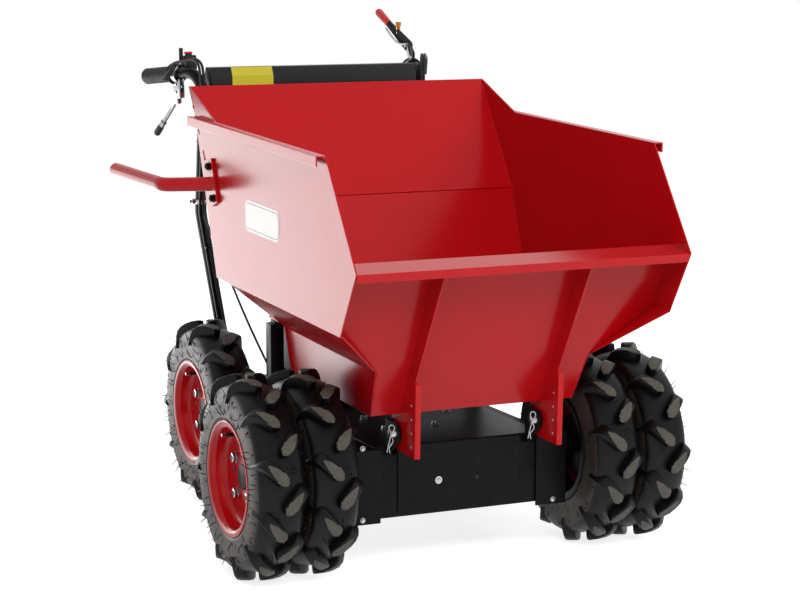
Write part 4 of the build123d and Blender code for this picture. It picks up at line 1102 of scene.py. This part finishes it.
class DUMPER_OT_engine(bpy.types.Operator):
    """Adds the engine's bolts, fillers and plug lead, the tank's seam and tap, and the silencer's tail"""

    bl_idname = "dumper.engine"
    bl_label = "Engine"

    def execute(self, context):
        bm = bmesh.new()
        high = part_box("recoil_starter")[1]
        housing_low, housing_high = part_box("fan_housing")
        hub = Vector((0, housing_low.y + SHAFT_INSET * MM, housing_low.z + SHAFT_INSET * MM))
        for number in range(6):
            place = around(hub + X * housing_high.x, 75, math.pi / 6 + number * math.pi / 3)
            hexagon(bm, place, X, 10 * MM, 4 * MM, washer=7 * MM)
        face = hub + X * high.x
        rod(bm, face - X * 10 * MM, face - X * 1 * MM, 24 * MM, 1, soft=2 * MM)
        # belt cover's screws
        low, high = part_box("belt_cover")
        for y, z in BELT_SCREWS:
            place = share_of(low, high, 0, y, z) + X * 0.4 * MM
            hexagon(bm, place, -X, 10 * MM, 4 * MM, washer=7 * MM)
        # two filler plugs on the crankcase, and its foot bolts
        low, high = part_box("engine_block")
        for x in (-52, 52):
            place = Vector((x * MM, low.y + 8 * MM, low.z + 34 * MM))
            rod(bm, place, place - Y * 14 * MM, 13 * MM, 1, soft=2 * MM)
            foot = Vector((x * MM, place.y + 2 * MM, low.z + 10 * MM))
            hexagon(bm, foot, Z, 13 * MM, 6 * MM, washer=9 * MM)
        # cover bolts and plug on the cylinder's end
        out = Vector((0, math.cos(CYLINDER_RISE), math.sin(CYLINDER_RISE)))
        up = Vector((0, -math.sin(CYLINDER_RISE), math.cos(CYLINDER_RISE)))
        end = hub + out * HEAD_REACH * MM
        for x in (-40, 40):
            for v in (-40, 40):
                hexagon(bm, end + (X * x + up * v) * MM, out, 11 * MM, 5 * MM, washer=7.5 * MM)
        plug = end + (X - up) * 12 * MM
        rod(bm, plug, plug + out * 20 * MM, 7 * MM, 2, soft=1 * MM)
        rod(bm, plug + out * 12 * MM, plug + out * 40 * MM, 9.5 * MM, 1, tip=8 * MM, soft=2 * MM)
        lead = [
            plug + out * 38 * MM,
            plug + (out * 52 + up * 6) * MM,
            plug + (out * 40 + up * 34 + X * 30) * MM,
            Vector((96 * MM, plug.y - 40 * MM, plug.z + 30 * MM)),
            Vector((110 * MM, housing_high.y - 40 * MM, housing_high.z - 20 * MM)),
        ]
        wire(bm, lead, 3.5 * MM, 1)
        # the tank's seam and its tap
        low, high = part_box("fuel_tank")
        seam, size = (low + high) / 2 - Z * 8 * MM, high - low
        rounded_plate(bm, seam, X, Y, Z, size.x + 7 * MM, size.y + 7 * MM, 3 * MM, 37 * MM, 3)
        tap = Vector((low.x + 40 * MM, high.y - 24 * MM, low.z - 8 * MM))
        rod(bm, tap + Z * 12 * MM, tap - Z * 12 * MM, 6 * MM, soft=1 * MM)
        rod(bm, tap, tap + Y * 22 * MM, 4 * MM, 1, soft=1 * MM)
        # tail of the silencer and its clamp screws
        low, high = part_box("muffler")
        tail = Vector((low.x + 24 * MM, high.y - 6 * MM, high.z - 26 * MM))
        rod(bm, tail, tail + in_mm(-4, 20, 0), 10 * MM, 4, segments=28, soft=1 * MM)
        for x in (0.2, 0.8):
            for z in (0.3, 0.9):
                place = share_of(low, high, x, 1, z) - Y * 4 * MM
                hexagon(bm, place, Y, 10 * MM, 5 * MM, washer=7 * MM)
        # clips on the air cleaner
        low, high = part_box("air_cleaner")
        for x in (low.x + 26 * MM, high.x - 26 * MM):
            place = Vector((x, high.y - 2 * MM, (low.z + high.z) / 2 - 4 * MM))
            block(bm, place, in_mm(14, 5, 30), soft=1.2 * MM)
        finish_piece(
            bm,
            "engine_trim",
            "chassis",
            "bright_steel",
            ("bright_steel", "black_plastic", "chrome", "tank_paint", "heat_metal"),
        )
        return {"FINISHED"}


# ---------------------------------------------------------------- stage
LAMPS = (
    # name, place, aim, width, height, watts
    ("key", (-1.0, -3.6, 3.2), (0, 0, 0.4), 2.2, 1.6, 90),
    ("fill", (2.4, -3.0, 2.4), (0, 0, 0.5), 2.4, 1.8, 50),
    ("side", (-3.6, 3.4, 1.5), (-0.3, 0, 0.6), 3.2, 2.6, 12),
    ("back", (1.2, 3.4, 3.2), (0, 0, 0.5), 2.4, 1.4, 40),
    ("gleam", (-0.88, 0.98, 0.42), (-0.33, -0.43, 0.55), 1.2, 0.8, 11.5),
)
# lamps that show in reflections as well, and the one that shows only there
GLOSSY_LAMPS, GLEAM = ("side", "gleam"), "gleam"
WORLD_LIGHT, FLOOR_GLOW, FLOOR_SIZE = 0.36, 0.8, 14.0


class DUMPER_OT_stage(bpy.types.Operator):
    """Sets up the camera, the lamps, the world and the floor"""

    bl_idname = "dumper.stage"
    bl_label = "Stage"

    def execute(self, context):
        view = context.scene.dumper_view
        data = bpy.data.cameras.new("camera")
        data.lens = view.lens
        data.sensor_width = 36.0
        data.shift_x = view.shift
        data.clip_end = 60.0
        camera = bpy.data.objects.new("camera", data)
        camera.location = view.place
        camera.rotation_euler = (math.pi / 2 - view.dip, 0.0, -view.heading)
        context.collection.objects.link(camera)
        context.scene.camera = camera
        context.scene.view_settings.view_transform = "Standard"

        world = bpy.data.worlds.new("studio")
        context.scene.world = world
        world.use_nodes = True
        tree = world.node_tree
        tree.nodes.clear()
        white, strength = {"Color": (1, 1, 1, 1)}, by_ray(tree, WORLD_LIGHT, 1.0)
        sky = add_node(tree, "ShaderNodeBackground", inputs=white, links={"Strength": strength})
        output = add_node(tree, "ShaderNodeOutputWorld")
        tree.links.new(sky.outputs["Background"], output.inputs["Surface"])

        for name, place, target, width, height, watts in LAMPS:
            lamp = bpy.data.lights.new(name, "AREA")
            lamp.shape = "RECTANGLE"
            lamp.size = width
            lamp.size_y = height
            lamp.energy = watts
            holder = bpy.data.objects.new(name, lamp)
            holder.location = place
            holder.rotation_euler = (Vector(target) - Vector(place)).to_track_quat("-Z", "Y").to_euler()
            holder.visible_camera = False
            holder.visible_glossy = name in GLOSSY_LAMPS
            holder.visible_diffuse = name != GLEAM
            context.collection.objects.link(holder)

        bm = bmesh.new()
        bmesh.ops.create_grid(bm, x_segments=1, y_segments=1, size=FLOOR_SIZE)
        mesh = bpy.data.meshes.new("floor")
        bm.to_mesh(mesh)
        bm.free()
        floor = bpy.data.objects.new("floor", mesh)
        context.collection.objects.link(floor)
        # Matt white paper sweep, whose own glow hides where it ends but leaves the shadow on it.
        material, tree, output = new_material("paper_sweep")
        matt = add_node(tree, "ShaderNodeBsdfDiffuse", inputs={"Color": (0.8, 0.8, 0.8, 1)})
        strength = by_ray(tree, 0.0, FLOOR_GLOW)
        glow = add_node(tree, "ShaderNodeEmission", inputs=white, links={"Strength": strength})
        both = add_node(tree, "ShaderNodeAddShader", links={0: matt.outputs[0], 1: glow.outputs[0]})
        tree.links.new(both.outputs[0], output.inputs["Surface"])
        mesh.materials.append(material)
        return {"FINISHED"}


def by_ray(tree, other, shown):
    """Socket of one value on rays that show the background and another on all others."""
    values = {"To Min": other, "To Max": shown}
    links = {"Value": shown_rays(tree)}
    return add_node(tree, "ShaderNodeMapRange", inputs=values, links=links).outputs[0]


def shown_rays(tree):
    """Socket that is 1 on rays that show the background itself: straight, reflected or through glass."""
    rays = add_node(tree, "ShaderNodeLightPath")
    seen = rays.outputs["Is Camera Ray"]
    for kind in ("Is Glossy Ray", "Is Transmission Ray"):
        pair = {0: seen, 1: rays.outputs[kind]}
        seen = add_node(tree, "ShaderNodeMath", {"operation": "MAXIMUM"}, links=pair).outputs[0]
    return seen


class DUMPER_OT_finishes(bpy.types.Operator):
    """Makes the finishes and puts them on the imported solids"""

    bl_idname = "dumper.finishes"
    bl_label = "Finishes"

    def execute(self, context):
        make_finishes(context.scene.dumper_finish)
        for node, slot in SLOT_OF.items():
            mesh = frame["nodes"][node].data
            mesh.materials.clear()
            mesh.materials.append(FINISHES[slot])
        return {"FINISHED"}


class DUMPER_PT_panel(bpy.types.Panel):
    """The dumper's settings and its steps"""

    bl_idname = "DUMPER_PT_panel"
    bl_label = "Site Dumper"
    bl_space_type = "VIEW_3D"
    bl_region_type = "UI"
    bl_category = "Dumper"

    def draw(self, context):
        for group in (context.scene.dumper_finish, context.scene.dumper_detail, context.scene.dumper_view):
            for key in group.__annotations__:
                self.layout.prop(group, key)
        for step in STEPS:
            self.layout.operator(step.bl_idname)


STEPS = (
    DUMPER_OT_stage,
    DUMPER_OT_finishes,
    DUMPER_OT_panels,
    DUMPER_OT_wheels,
    DUMPER_OT_welds,
    DUMPER_OT_tub_parts,
    DUMPER_OT_chassis_parts,
    DUMPER_OT_controls,
    DUMPER_OT_engine,
)
GROUPS = {"dumper_finish": DumperFinish, "dumper_detail": DumperDetail, "dumper_view": DumperView}
CLASSES = (*GROUPS.values(), *STEPS, DUMPER_PT_panel)


def register():
    for cls in CLASSES:
        bpy.utils.register_class(cls)
    for name, group in GROUPS.items():
        setattr(bpy.types.Scene, name, bpy.props.PointerProperty(type=group))


def unregister():
    for name in GROUPS:
        delattr(bpy.types.Scene, name)
    for cls in reversed(CLASSES):
        bpy.utils.unregister_class(cls)


def main():
    """Registers the add-on and makes every part."""
    register()
    for step in STEPS:
        family, name = step.bl_idname.split(".")
        getattr(getattr(bpy.ops, family), name)()


if __name__ == "__main__":
    main()
